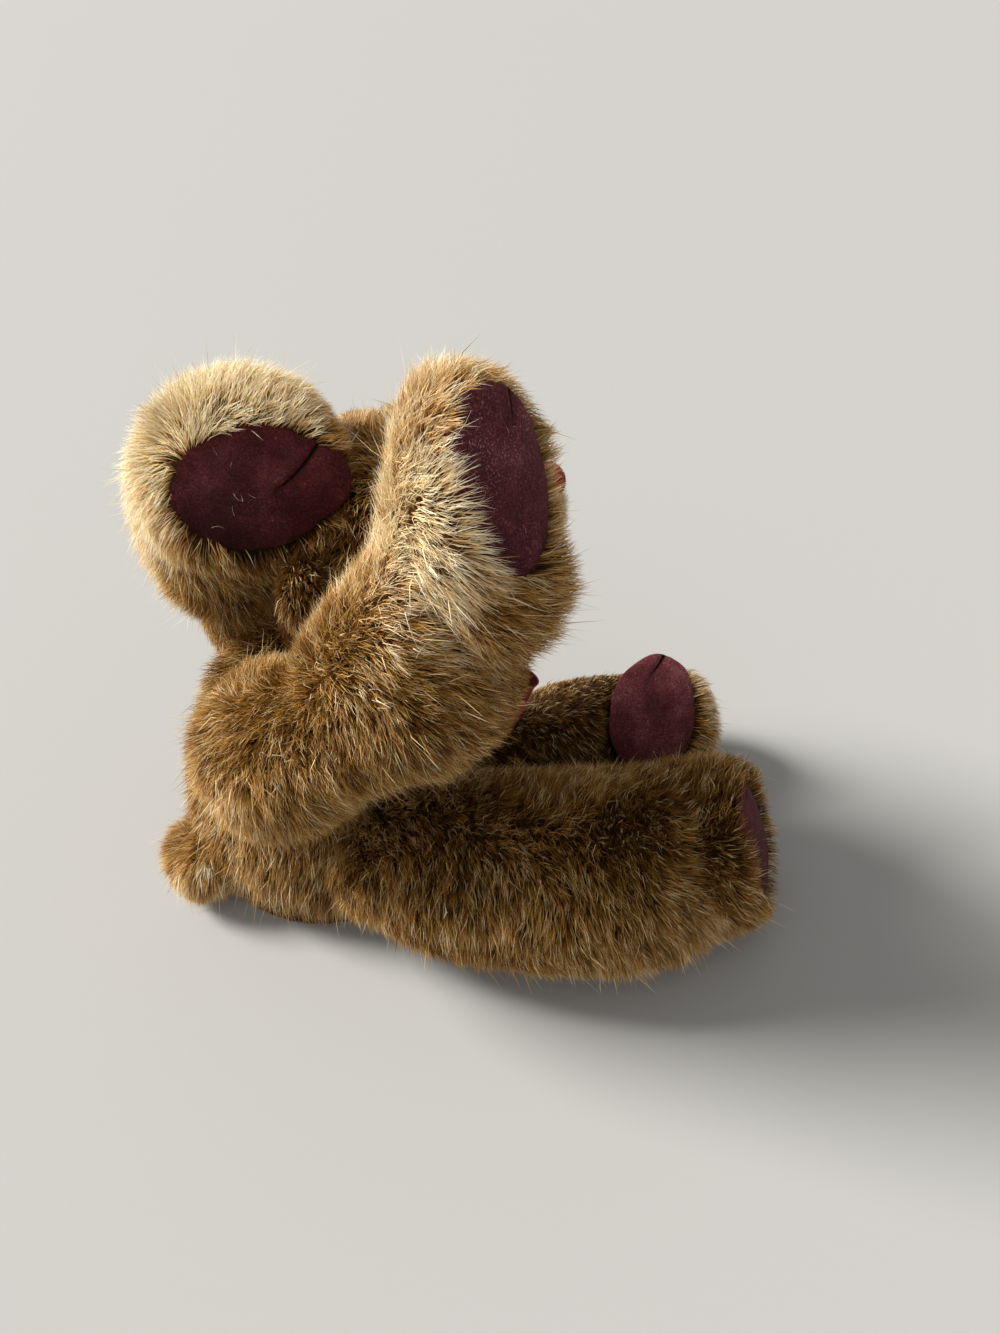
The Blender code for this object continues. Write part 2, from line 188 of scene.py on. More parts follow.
def fur_material(name, dark, light, odd, mid=None, translucent=0.35, rough=0.55):
    """Pile. The map's u picks one of 16 tones and, inside it, one of 16 kinds
    of hair; v runs from root to tip."""
    m, nt, out = new_material(name)
    uv = node(nt, "ShaderNodeUVMap", uv_map="Hair")
    sep = node(nt, "ShaderNodeSeparateXYZ")
    nt.links.new(uv.outputs[0], sep.inputs[0])
    u, t = sep.outputs[0], sep.outputs[1]
    u16 = math_node(nt, "MULTIPLY", u, TONES)
    tone = math_node(nt, "DIVIDE", math_node(nt, "FLOOR", u16), TONES - 1.0)
    kind = math_node(nt, "FRACT", u16)
    kind = math_node(nt, "FLOOR", math_node(nt, "MULTIPLY", kind, KINDS))
    c_dark = ramp(nt, dark, t)
    c_light = ramp(nt, light, t)
    if mid is None:
        c = mix_colour(nt, tone, c_dark, c_light)
    else:
        lo_ = node(nt, "ShaderNodeClamp")
        nt.links.new(math_node(nt, "MULTIPLY", tone, 2.0), lo_.inputs["Value"])
        hi_ = node(nt, "ShaderNodeClamp")
        nt.links.new(math_node(nt, "SUBTRACT", math_node(nt, "MULTIPLY", tone, 2.0), 1.0), hi_.inputs["Value"])
        c = mix_colour(nt, lo_.outputs[0], c_dark, ramp(nt, mid, t))
        c = mix_colour(nt, hi_.outputs[0], c, c_light)
    c_odd = ramp(nt, odd, t)
    is_odd = math_node(nt, "GREATER_THAN", kind, KINDS - 2.5)
    c = mix_colour(nt, is_odd, c, c_odd)
    white = node(nt, "ShaderNodeTexWhiteNoise", noise_dimensions="2D")
    comb = node(nt, "ShaderNodeCombineXYZ")
    nt.links.new(kind, comb.inputs[0])
    nt.links.new(math_node(nt, "FLOOR", u16), comb.inputs[1])
    nt.links.new(comb.outputs[0], white.inputs["Vector"])
    hsv = node(nt, "ShaderNodeHueSaturation")
    nt.links.new(c, hsv.inputs["Color"])
    val = math_node(nt, "ADD", math_node(nt, "MULTIPLY", white.outputs["Value"], 0.55), 0.72)
    nt.links.new(val, hsv.inputs["Value"])
    sep2 = node(nt, "ShaderNodeSeparateColor")
    nt.links.new(white.outputs["Color"], sep2.inputs[0])
    hue = math_node(nt, "ADD", math_node(nt, "MULTIPLY", sep2.outputs[1], 0.022), 0.4935)
    nt.links.new(hue, hsv.inputs["Hue"])
    c = hsv.outputs["Color"]
    p = node(nt, "ShaderNodeBsdfPrincipled")
    p.inputs["Roughness"].default_value = rough
    p.inputs["Specular IOR Level"].default_value = 0.35
    nt.links.new(c, p.inputs["Base Color"])
    tr = node(nt, "ShaderNodeBsdfTranslucent")
    nt.links.new(c, tr.inputs["Color"])
    mx = node(nt, "ShaderNodeMixShader")
    mx.inputs[0].default_value = translucent
    nt.links.new(p.outputs[0], mx.inputs[1])
    nt.links.new(tr.outputs[0], mx.inputs[2])
    nt.links.new(mx.outputs[0], out.inputs["Surface"])
    return m


def srgb(r, g, b):
    return tuple((c / 255.0 / 12.92) if c <= 10.31 else ((c / 255.0 + 0.055) / 1.055) ** 2.4 for c in (r, g, b))


# dark, mid and light are the pile in shade, in half light and in full light; the tones that mix them paint light and
# shade
m_fur = fur_material(
    "worn_tipped_pile",
    dark=[(0.0, srgb(22, 10, 1)), (0.35, srgb(57, 30, 4)), (0.70, srgb(108, 64, 12)), (1.0, srgb(166, 111, 38))],
    mid=[(0.0, srgb(64, 36, 7)), (0.30, srgb(134, 85, 24)), (0.62, srgb(200, 143, 60)), (1.0, srgb(242, 200, 120))],
    light=[(0.0, srgb(150, 112, 66)), (0.25, srgb(228, 194, 136)), (0.55, srgb(254, 238, 196)), (1.0, srgb(255, 252, 240))],
    odd=[(0.0, srgb(128, 92, 42)), (0.3, srgb(224, 186, 116)), (1.0, srgb(255, 240, 204))],
)
m_cream = fur_material(
    "cream_short_pile",
    dark=[(0.0, srgb(140, 112, 80)), (0.5, srgb(214, 186, 146)), (1.0, srgb(240, 220, 184))],
    light=[(0.0, srgb(170, 142, 106)), (0.5, srgb(236, 212, 174)), (1.0, srgb(252, 240, 212))],
    odd=[(0.0, srgb(170, 150, 122)), (0.5, srgb(232, 218, 194)), (1.0, srgb(250, 242, 226))],
)


def skin_material(name, low, mid, high):
    """The cloth backing under the pile: brown knit."""
    m, nt, out = new_material(name)
    tc = node(nt, "ShaderNodeTexCoord")
    n1 = node(nt, "ShaderNodeTexNoise")
    n1.inputs["Scale"].default_value = 900
    nt.links.new(tc.outputs["Object"], n1.inputs["Vector"])
    n2 = node(nt, "ShaderNodeTexNoise")
    n2.inputs["Scale"].default_value = 60
    nt.links.new(tc.outputs["Object"], n2.inputs["Vector"])
    f = math_node(nt, "ADD", math_node(nt, "MULTIPLY", n1.outputs[0], 0.6), math_node(nt, "MULTIPLY", n2.outputs[0], 0.4))
    c = ramp(nt, [(0.3, low), (0.55, mid), (0.75, high)], f)
    p = node(nt, "ShaderNodeBsdfPrincipled")
    p.inputs["Roughness"].default_value = 0.95
    p.inputs["Specular IOR Level"].default_value = 0.1
    nt.links.new(c, p.inputs["Base Color"])
    b = node(nt, "ShaderNodeBump")
    b.inputs["Strength"].default_value = 0.8
    b.inputs["Distance"].default_value = 0.0006
    nt.links.new(n1.outputs[0], b.inputs["Height"])
    nt.links.new(b.outputs[0], p.inputs["Normal"])
    nt.links.new(p.outputs[0], out.inputs["Surface"])
    return m


def velvet_material(name, deep, body, brushed, dart=None, painted_shading=None, dust=0.3):
    """Burgundy velvet: a fine pile, brushed lighter in streaks, dark in the dart
    and pale where lint sticks to it. Given a lit direction, it also paints light
    and shade: lighter on that side of the sole, darker on the other."""
    m, nt, out = new_material(name)
    tc = node(nt, "ShaderNodeTexCoord")
    fine = node(nt, "ShaderNodeTexNoise")
    fine.inputs["Scale"].default_value = 1500
    fine.inputs["Detail"].default_value = 3
    patch = node(nt, "ShaderNodeTexNoise")
    patch.inputs["Scale"].default_value = 110
    patch.inputs["Detail"].default_value = 5
    patch.inputs["Roughness"].default_value = 0.65
    patch.inputs["Distortion"].default_value = 0.8
    large = node(nt, "ShaderNodeTexNoise")
    large.inputs["Scale"].default_value = 38
    large.inputs["Detail"].default_value = 2
    for n in (fine, patch, large):
        nt.links.new(tc.outputs["Object"], n.inputs["Vector"])
    f = math_node(nt, "ADD", math_node(nt, "MULTIPLY", patch.outputs[0], 0.55), math_node(nt, "MULTIPLY", large.outputs[0], 0.45))
    c = ramp(nt, [(0.36, deep), (0.50, body), (0.66, brushed)], f)
    g = ramp(nt, [(0.34, (0.42, 0.42, 0.42)), (0.66, (1.0, 1.0, 1.0))], fine.outputs[0])
    g = mix_colour(nt, 1.0, g, (1.42, 1.40, 1.40), "MULTIPLY")
    c = mix_colour(nt, 1.0, c, g, "MULTIPLY")
    # specks of lint and skin-coloured dust caught in the nap
    specks = node(nt, "ShaderNodeTexVoronoi", feature="F1")
    specks.inputs["Scale"].default_value = 520
    nt.links.new(tc.outputs["Object"], specks.inputs["Vector"])
    near = math_node(nt, "LESS_THAN", specks.outputs["Distance"], 0.17)
    rare = math_node(nt, "GREATER_THAN", patch.outputs[0], 0.66)
    c = mix_colour(nt, math_node(nt, "MULTIPLY", math_node(nt, "MULTIPLY", near, rare), 0.5), c, srgb(150, 118, 112))
    # short pale fibres lying in the nap
    for seed, stretch in ((0.0, (2300, 800, 1500)), (3.7, (900, 2100, 1300))):
        along_ = node(nt, "ShaderNodeMapping")
        along_.inputs["Scale"].default_value = stretch
        along_.inputs["Location"].default_value = (seed, seed, seed)
        nt.links.new(tc.outputs["Object"], along_.inputs["Vector"])
        fleck = node(nt, "ShaderNodeTexNoise")
        fleck.inputs["Scale"].default_value = 1.0
        fleck.inputs["Detail"].default_value = 1
        nt.links.new(along_.outputs[0], fleck.inputs["Vector"])
        lit = ramp(nt, [(0.60, (0, 0, 0)), (0.74, (1, 1, 1))], fleck.outputs[0])
        where = ramp(nt, [(0.40, (0.25, 0.25, 0.25)), (0.62, (1, 1, 1))], large.outputs[0])
        c = mix_colour(nt, math_node(nt, "MULTIPLY", math_node(nt, "MULTIPLY", lit, where), dust), c, srgb(128, 88, 94))
    # painted light and shade: the colour is multiplied from a dark factor at one side of the sole to a light one at the
    # other
    if painted_shading is not None:
        middle, lit_towards, low, high = painted_shading
        off = node(nt, "ShaderNodeVectorMath", operation="SUBTRACT")
        off.inputs[1].default_value = tuple(middle)
        nt.links.new(tc.outputs["Object"], off.inputs[0])
        up = node(nt, "ShaderNodeVectorMath", operation="DOT_PRODUCT")
        up.inputs[1].default_value = tuple(lit_towards)
        nt.links.new(off.outputs[0], up.inputs[0])
        h_ = math_node(nt, "ADD", up.outputs["Value"], math_node(nt, "MULTIPLY", large.outputs[0], 0.25))
        c = mix_colour(nt, 1.0, c, mix_colour(nt, math_node(nt, "ADD", h_, 0.375), low, high), "MULTIPLY")
    if dart is not None:
        pa, pb, flat, across, bend = dart
        ab = pb - pa
        ab = ab - flat * (ab @ flat)
        sub = node(nt, "ShaderNodeVectorMath", operation="SUBTRACT")
        sub.inputs[1].default_value = tuple(pa)
        nt.links.new(tc.outputs["Object"], sub.inputs[0])
        dots = []
        for vec in (ab / (ab @ ab), across):
            d = node(nt, "ShaderNodeVectorMath", operation="DOT_PRODUCT")
            d.inputs[1].default_value = tuple(vec)
            nt.links.new(sub.outputs[0], d.inputs[0])
            dots.append(d.outputs["Value"])
        t, s_ = dots
        arc = math_node(nt, "MULTIPLY", math_node(nt, "MULTIPLY", t, math_node(nt, "SUBTRACT", 1.0, t)), 4.0 * bend)
        gap = math_node(nt, "ABSOLUTE", math_node(nt, "SUBTRACT", s_, arc))
        wide = math_node(nt, "ADD", math_node(nt, "MULTIPLY", t, -0.00075), 0.00100)
        wide = math_node(nt, "ADD", wide, math_node(nt, "MULTIPLY", math_node(nt, "SUBTRACT", fine.outputs[0], 0.5), 0.0006))
        wide = math_node(nt, "MAXIMUM", wide, 0.00012)
        line = ramp(nt, [(0.40, (1, 1, 1)), (1.0, (0, 0, 0))], math_node(nt, "DIVIDE", gap, wide))
        reach = ramp(nt, [(0.0, (0, 0, 0)), (0.06, (1, 1, 1)), (0.80, (1, 1, 1)), (0.94, (0, 0, 0))],
                     math_node(nt, "MULTIPLY", math_node(nt, "ADD", t, 0.2), 1 / 1.3))
        line = math_node(nt, "MULTIPLY", line, reach)
        c = mix_colour(nt, line, c, srgb(6, 3, 3))
    p = node(nt, "ShaderNodeBsdfPrincipled")
    p.inputs["Roughness"].default_value = 0.9
    p.inputs["Specular IOR Level"].default_value = 0.15
    p.inputs["Sheen Weight"].default_value = 0.14
    p.inputs["Sheen Roughness"].default_value = 0.45
    p.inputs["Sheen Tint"].default_value = (*srgb(190, 130, 130), 1)
    nt.links.new(c, p.inputs["Base Color"])
    h = math_node(nt, "ADD", fine.outputs[0], math_node(nt, "MULTIPLY", patch.outputs[0], 1.2))
    b = node(nt, "ShaderNodeBump")
    b.inputs["Strength"].default_value = 0.55
    b.inputs["Distance"].default_value = 0.0004
    nt.links.new(h, b.inputs["Height"])
    nt.links.new(b.outputs[0], p.inputs["Normal"])
    nt.links.new(p.outputs[0], out.inputs["Surface"])
    return m


m_skin = skin_material("pile_backing", srgb(34, 20, 8), srgb(66, 44, 20), srgb(98, 70, 36))
# a lighter copy of the backing for the near arm: painted light in the partings of its pile
m_skin_painted_lit = skin_material("pile_backing_painted_lit", srgb(92, 62, 28), srgb(138, 98, 50), srgb(168, 126, 72))
def cloth_material(name, low, mid, high, size=900.0, bump=0.0004, rough=0.92, sheen=0.2):
    """A short felted or knitted cloth."""
    m, nt, out = new_material(name)
    tc = node(nt, "ShaderNodeTexCoord")
    n1 = node(nt, "ShaderNodeTexNoise")
    n1.inputs["Scale"].default_value = size
    n1.inputs["Detail"].default_value = 4
    n2 = node(nt, "ShaderNodeTexNoise")
    n2.inputs["Scale"].default_value = 130
    n2.inputs["Detail"].default_value = 3
    for n in (n1, n2):
        nt.links.new(tc.outputs["Object"], n.inputs["Vector"])
    f = math_node(nt, "ADD", math_node(nt, "MULTIPLY", n1.outputs[0], 0.5), math_node(nt, "MULTIPLY", n2.outputs[0], 0.5))
    c = ramp(nt, [(0.36, low), (0.5, mid), (0.66, high)], f)
    p = node(nt, "ShaderNodeBsdfPrincipled")
    p.inputs["Roughness"].default_value = rough
    p.inputs["Specular IOR Level"].default_value = 0.15
    p.inputs["Sheen Weight"].default_value = sheen
    nt.links.new(c, p.inputs["Base Color"])
    b = node(nt, "ShaderNodeBump")
    b.inputs["Strength"].default_value = 0.7
    b.inputs["Distance"].default_value = bump
    nt.links.new(n1.outputs[0], b.inputs["Height"])
    nt.links.new(b.outputs[0], p.inputs["Normal"])
    nt.links.new(p.outputs[0], out.inputs["Surface"])
    return m


def satin_material():
    """Red satin ribbon: fine cross ribs, a firmer selvedge, worn paler at it."""
    m, nt, out = new_material("red_satin")
    uv = node(nt, "ShaderNodeUVMap", uv_map="Cloth")
    sep = node(nt, "ShaderNodeSeparateXYZ")
    nt.links.new(uv.outputs[0], sep.inputs[0])
    edge = math_node(nt, "ABSOLUTE", math_node(nt, "SUBTRACT", math_node(nt, "MULTIPLY", sep.outputs[0], 2.0), 1.0))
    ribs = math_node(nt, "SINE", math_node(nt, "MULTIPLY", sep.outputs[1], 2 * math.pi / 0.00045))
    tc = node(nt, "ShaderNodeTexCoord")
    n1 = node(nt, "ShaderNodeTexNoise")
    n1.inputs["Scale"].default_value = 220
    n1.inputs["Detail"].default_value = 4
    nt.links.new(tc.outputs["Object"], n1.inputs["Vector"])
    c = ramp(nt, [(0.35, srgb(104, 7, 13)), (0.52, srgb(158, 13, 24)), (0.7, srgb(188, 30, 40))], n1.outputs[0])
    worn = ramp(nt, [(0.84, (0, 0, 0)), (0.93, (1, 1, 1))], edge)
    c = mix_colour(nt, worn, c, srgb(136, 14, 24))
    p = node(nt, "ShaderNodeBsdfPrincipled")
    p.inputs["Roughness"].default_value = 0.42
    p.inputs["Specular IOR Level"].default_value = 0.4
    p.inputs["Sheen Weight"].default_value = 0.12
    nt.links.new(c, p.inputs["Base Color"])
    h = math_node(nt, "ADD", math_node(nt, "MULTIPLY", ribs, 0.5), math_node(nt, "MULTIPLY", worn, 1.5))
    b = node(nt, "ShaderNodeBump")
    b.inputs["Strength"].default_value = 0.5
    b.inputs["Distance"].default_value = 0.0002
    nt.links.new(h, b.inputs["Height"])
    nt.links.new(b.outputs[0], p.inputs["Normal"])
    nt.links.new(p.outputs[0], out.inputs["Surface"])
    return m


def plastic_material():
    """A safety eye: a dark pupil in a brown iris, finely scuffed."""
    m, nt, out = new_material("scuffed_eye")
    uv = node(nt, "ShaderNodeUVMap", uv_map="Cloth")
    sep = node(nt, "ShaderNodeSeparateXYZ")
    nt.links.new(uv.outputs[0], sep.inputs[0])
    c = ramp(nt, [(0.0, srgb(8, 6, 5)), (0.44, srgb(8, 6, 5)), (0.50, srgb(70, 38, 14)), (0.74, srgb(52, 27, 10)), (0.82, srgb(10, 7, 5))], sep.outputs[0])
    tc = node(nt, "ShaderNodeTexCoord")
    n1 = node(nt, "ShaderNodeTexNoise")
    n1.inputs["Scale"].default_value = 700
    n1.inputs["Detail"].default_value = 6
    nt.links.new(tc.outputs["Object"], n1.inputs["Vector"])
    r = ramp(nt, [(0.45, (0.10, 0.10, 0.10)), (0.70, (0.34, 0.34, 0.34))], n1.outputs[0])
    p = node(nt, "ShaderNodeBsdfPrincipled")
    p.inputs["Specular IOR Level"].default_value = 0.55
    nt.links.new(c, p.inputs["Base Color"])
    nt.links.new(r, p.inputs["Roughness"])
    nt.links.new(p.outputs[0], out.inputs["Surface"])
    return m


m_felt = cloth_material("red_felt", srgb(122, 16, 22), srgb(166, 28, 34), srgb(196, 58, 60))
m_cream_cloth = cloth_material("cream_backing", srgb(120, 100, 76), srgb(160, 138, 108), srgb(190, 168, 136))
m_satin = satin_material()
m_eye = plastic_material()
m_fuzz = fur_material(
    "red_fuzz",
    dark=[(0.0, srgb(90, 12, 18)), (1.0, srgb(170, 40, 46))],
    light=[(0.0, srgb(130, 20, 26)), (1.0, srgb(214, 86, 88))],
    odd=[(0.0, srgb(150, 60, 58)), (1.0, srgb(230, 150, 146))],
)
m_lint = cloth_material("pale_lint", srgb(176, 162, 140), srgb(208, 196, 174), srgb(232, 224, 206), rough=0.7)
m_rust = cloth_material("rusty_fibre", srgb(104, 56, 18), srgb(150, 86, 30), srgb(182, 118, 52), rough=0.7)
VELVET = (srgb(50, 15, 20), srgb(67, 24, 29), srgb(88, 39, 45))
m_velvet = velvet_material("burgundy_velvet", *VELVET)


# ----------------------------------------------------------------- builders
def mesh_object(name, verts, faces, mat, smooth=True):
    me = bpy.data.meshes.new(name)
    me.from_pydata([tuple(x) for x in verts], [], [tuple(int(i) for i in f) for f in faces])
    me.update()
    if smooth:
        me.polygons.foreach_set("use_smooth", [True] * len(me.polygons))
    if mat:
        me.materials.append(mat)
    ob = bpy.data.objects.new(name, me)
    bpy.context.scene.collection.objects.link(ob)
    return ob


def subdivided(bm, levels, name):
    """The cage as a mesh after Catmull-Clark, modifier applied."""
    me = bpy.data.meshes.new(name)
    bm.to_mesh(me)
    bm.free()
    ob = bpy.data.objects.new(name, me)
    bpy.context.scene.collection.objects.link(ob)
    if levels:
        s = ob.modifiers.new("s", "SUBSURF")
        s.levels = s.render_levels = levels
        dg = bpy.context.evaluated_depsgraph_get()
        new = bpy.data.meshes.new_from_object(ob.evaluated_get(dg))
        ob.modifiers.clear()
        ob.data = new
        bpy.data.meshes.remove(me)
    return ob


def tube(name, stations, sides=12, levels=2):
    bm = bmesh.new()
    bmesh.ops.create_circle(bm, cap_ends=True, radius=1.0, segments=sides)
    top = bm.faces[:][0]
    for k in range(len(stations) - 1):
        made = bmesh.ops.extrude_face_region(bm, geom=[top])["geom"]
        if k:
            bmesh.ops.delete(bm, geom=[top], context="FACES_ONLY")
        top = [g for g in made if isinstance(g, bmesh.types.BMFace)][0]
        bmesh.ops.translate(bm, vec=(0, 0, 1), verts=[g for g in made if isinstance(g, bmesh.types.BMVert)])
    for p in bm.verts:
        c, n, m, a, b = stations[int(round(p.co.z))]
        n, m, s = axes_of(n, m)
        p.co = Vector(np.asarray(c) + OFF + m * (a * p.co.x) + s * (b * p.co.y))
    bmesh.ops.recalc_face_normals(bm, faces=bm.faces[:])
    if bm.calc_volume(signed=True) < 0:
        bmesh.ops.reverse_faces(bm, faces=bm.faces[:])
    return subdivided(bm, levels, name)


def look(direction, up=(0, 0, 1)):
    y = -unit(direction)
    x = unit(np.cross(y, up))
    z = np.cross(x, y)
    return np.stack([x, y, z], 1)


def ball(name, centre, radii, turn=None, segments=32, rings=20, shape=None):
    bm = bmesh.new()
    bmesh.ops.create_uvsphere(bm, u_segments=segments, v_segments=rings, radius=1.0)
    turn = np.eye(3) if turn is None else turn
    for p in bm.verts:
        q = np.array(p.co)
        if shape:
            q = shape(q)
        p.co = Vector(turn @ (q * np.asarray(radii)) + centre + OFF)
    return subdivided(bm, 0, name)


def arrays(ob):
    """Vertices, normals, triangles and triangle normals of a mesh object."""
    me = ob.data
    me.calc_loop_triangles()
    co = np.empty(len(me.vertices) * 3)
    me.vertices.foreach_get("co", co)
    no = np.empty(len(me.vertices) * 3)
    me.vertices.foreach_get("normal", no)
    tri = np.empty(len(me.loop_triangles) * 3, np.int64)
    me.loop_triangles.foreach_get("vertices", tri)
    return co.reshape(-1, 3), no.reshape(-1, 3), tri.reshape(-1, 3)


def lumps(ob, amount=0.0010, size=0.022, seed=1):
    """Soft hollows and bulges of uneven stuffing."""
    co, no, _ = arrays(ob)
    d = noise(co, size, seed) * amount + noise(co, size * 0.4, seed + 1) * amount * 0.35
    co = co + no * d[:, None]
    co[:, 2] = np.maximum(co[:, 2], 0.0012)
    ob.data.vertices.foreach_set("co", co.ravel())
    ob.data.update()
    return ob


# -------------------------------------------------------------- the skins
def shrunk(stations, by=PILE):
    return [(c, n, m, max(a - by, 0.002), max(b - by, 0.002)) for c, n, m, a, b in stations]


def limb_stations(stations, sole, rim):
    c, n, m = sole
    n, m, s = axes_of(n, m)
    c = np.asarray(c, float)
    a, b, dm, ds = rim
    o = m * dm + s * ds
    a, b = a - PILE, b - PILE
    return shrunk(stations) + [
        (c + o - n * 0.0210, n, m, a * 1.05, b * 1.06),
        (c + o - n * 0.0075, n, m, a * 1.03, b * 1.04),
        (c + o * 0.8 - n * 0.0010, n, m, (a + SOLE_LONG) / 2 * 1.02, (b + SOLE_WIDE) / 2 * 1.02),
        (c + o * 0.2 - n * 0.0004, n, m, SOLE_LONG * 0.92, SOLE_WIDE * 0.92),
        (c - n * 0.0004, n, m, SOLE_LONG * 0.60, SOLE_WIDE * 0.60),
    ]


LIMBS = {
    "arm_right": dict(
        stations=[
            (v(-0.0300, 0.0080, 0.0800), (-0.5, -0.3, 0.6), (0, -0.7, 0.7), 0.0240, 0.0240),
            (v(-0.0400, 0.0030, 0.0890), (-0.5, -0.5, 0.7), (0, -0.7, 0.7), 0.0350, 0.0330),
            (v(-0.0510, -0.0130, 0.1080), (-0.35, -0.75, 0.75), (0, -0.7, 0.7), 0.0375, 0.0350),
            (v(-0.0580, -0.0370, 0.1285), (-0.2, -0.8, 0.8), (0.1, 0.5, 0.7), 0.0380, 0.0345),
            (v(-0.0592, -0.0680, 0.1510), (-0.2, -0.8, 0.7), (0.2, 0.5, 0.8), 0.0435, 0.0350),
        ],
        sole=(v(-0.0560, -0.0810, 0.2060), (-0.712, -0.577, 0.401), (0.405, 0.130, 0.906)),
        rim=(0.0490, 0.0315, -0.0095, 0.0003),
    ),
    "arm_left": dict(
        stations=[
            (v(0.0320, 0.0060, 0.0850), (0.3, 0.1, 0.9), (0, -1, 0), 0.0240, 0.0240),
            (v(0.0380, 0.0030, 0.0980), (0.1, 0.1, 1), (0, -1, 0), 0.0280, 0.0300),
            (v(0.0390, 0.0020, 0.1200), (-0.2, 0, 1), (0, -1, 0), 0.0320, 0.0345),
            (v(0.0320, 0.0045, 0.1420), (-0.5, 0, 0.9), (0, -1, 0), 0.0375, 0.0380),
        ],
        sole=(v(-0.0100, -0.0105, 0.1850), (-0.800, -0.061, 0.598), (-0.02, -0.99, 0.09)),
        rim=(0.0400, 0.0385, -0.0050, 0.0050),
    ),
    "leg_right": dict(
        stations=[
            (v(-0.0280, -0.0180, 0.0360), (-0.5, -1, 0), (0, 0, 1), 0.0300, 0.0300),
            (v(-0.0480, -0.0400, 0.0385), (-0.4, -1, 0), (0, 0, 1), 0.0370, 0.0380),
            (v(-0.0640, -0.0720, 0.0385), (-0.3, -1, 0), (0, 0, 1), 0.0395, 0.0430),
            (v(-0.0710, -0.1060, 0.0385), (-0.15, -1, 0), (0, 0, 1), 0.0405, 0.0450),
            (v(-0.0740, -0.1400, 0.0390), (-0.1, -1, 0.05), (0, 0, 1), 0.0405, 0.0430),
        ],
        sole=(v(-0.0720, -0.1805, 0.0400), (-0.370, -0.862, 0.347), (0, 0.2, 1)),
        rim=(0.0395, 0.0380, 0.0000, 0.0000),
    ),
    "leg_left": dict(
        stations=[
            (v(0.0120, -0.0180, 0.0290), (0.1, -1, 0), (0, 0, 1), 0.0240, 0.0260),
            (v(0.0150, -0.0450, 0.0240), (0.0, -1, 0), (0, 0, 1), 0.0240, 0.0300),
            (v(0.0120, -0.0780, 0.0222), (0.0, -1, 0), (0, 0, 1), 0.0228, 0.0310),
            (v(0.0130, -0.1080, 0.0222), (0.1, -1, 0), (0, 0, 1), 0.0230, 0.0310),
            (v(0.0230, -0.1370, 0.0270), (0.1, -1, 0.1), (0.3, 0, 1), 0.0290, 0.0320),
        ],
        sole=(v(0.0057, -0.1637, 0.0369), (-0.696, -0.10, 0.707), (0.60, -0.22, 0.58)),
        rim=(0.0320, 0.0330, -0.0030, -0.0060),
    ),
}

skins = {}
skins["torso"] = tube("torso_skin", shrunk([
    (TORSO_C + v(0, 0, 0.0040), UP, FRONT, 0.0480, 0.0480),
    (TORSO_C + v(0, 0, 0.0050), UP, FRONT, 0.0560, 0.0550),
    (TORSO_C + v(0, 0, 0.018), UP, FRONT, 0.0600, 0.0590),
    (TORSO_C + v(0, -0.001, 0.040), UP, FRONT, 0.0620, 0.0600),
    (TORSO_C + v(0.001, -0.001, 0.066), (0, -0.12, 1), FRONT, 0.0550, 0.0560),
    (TORSO_C + v(0.003, -0.003, 0.088), (0, -0.2, 1), FRONT, 0.0450, 0.0490),
    (TORSO_C + v(0.004, -0.008, 0.102), (0, -0.3, 1), FRONT, 0.0330, 0.0390),
    (TORSO_C + v(0.005, -0.012, 0.110), (0, -0.4, 1), FRONT, 0.0160, 0.0200),
]), sides=16)
skins["head"] = ball("head_skin", HEAD_C, [HEAD_R - PILE] * 3, look(FACE), 40, 26)
for key, spec in LIMBS.items():
    skins[key] = tube(key + "_skin", limb_stations(spec["stations"], spec["sole"], spec["rim"]))
for key, s in (("ear_right", 1.0), ("ear_left", -1.0)):
    d = unit(SIDE * 0.86 * s + CROWN * 0.40 - FACE * 0.22)
    skins[key] = ball(
        key + "_skin", HEAD_C + d * (HEAD_R + 0.0005), (0.0125, 0.0048, 0.0120), look(FACE + SIDE * 0.25 * s, d), 24, 14
    )
rot = math.radians(20)
skins["tail"] = ball(
    "tail_skin", v(-0.0230, 0.0380, 0.0190), (0.0115, 0.0110, 0.0085),
    np.array([[1, 0, 0], [0, math.cos(rot), -math.sin(rot)], [0, math.sin(rot), math.cos(rot)]]), 20, 12,
)
skins["muzzle"] = ball(
    "muzzle_skin", HEAD_C + FACE * (HEAD_R - 0.0125) - CROWN * 0.006, (0.0195, 0.0200, 0.0145), look(FACE), 28, 18
)
skins["nose"] = ball(
    "nose_felt", HEAD_C + FACE * (HEAD_R + 0.0085) + CROWN * 0.001, (0.0085, 0.0064, 0.0060), look(FACE), 44, 30
)
for i, (key, ob) in enumerate(skins.items()):
    lumps(ob, 0.0012 if key in ("torso", "head") or key in LIMBS else 0.0004, seed=10 + i * 3)
    ob.data.materials.append({"muzzle": m_cream_cloth, "nose": m_felt, "arm_right": m_skin_painted_lit}.get(key, m_skin))
    ob.data.polygons.foreach_set("use_smooth", [True] * len(ob.data.polygons))

trees = {}
for key, ob in skins.items():
    co, no, tri = arrays(ob)
    trees[key] = BVHTree.FromPolygons([tuple(x) for x in co], [tuple(int(i) for i in t) for t in tri])


BOX = {}
for key, ob in skins.items():
    co, _, _ = arrays(ob)
    BOX[key] = (co.min(0), co.max(0))


def buried(points, key, depth):
    """Which of these points lie deeper than depth inside another skin."""
    out = np.zeros(len(points), bool)
    for other, tree in trees.items():
        if other == key:
            continue
        lo, hi = BOX[other]
        near = np.flatnonzero(((points > lo) & (points < hi)).all(1) & ~out)
        for i in near:
            hit, nrm, _, dist = tree.find_nearest(Vector(points[i]))
            if hit is not None and dist > depth and (Vector(points[i]) - hit).dot(nrm) < 0:
                out[i] = True
    return out
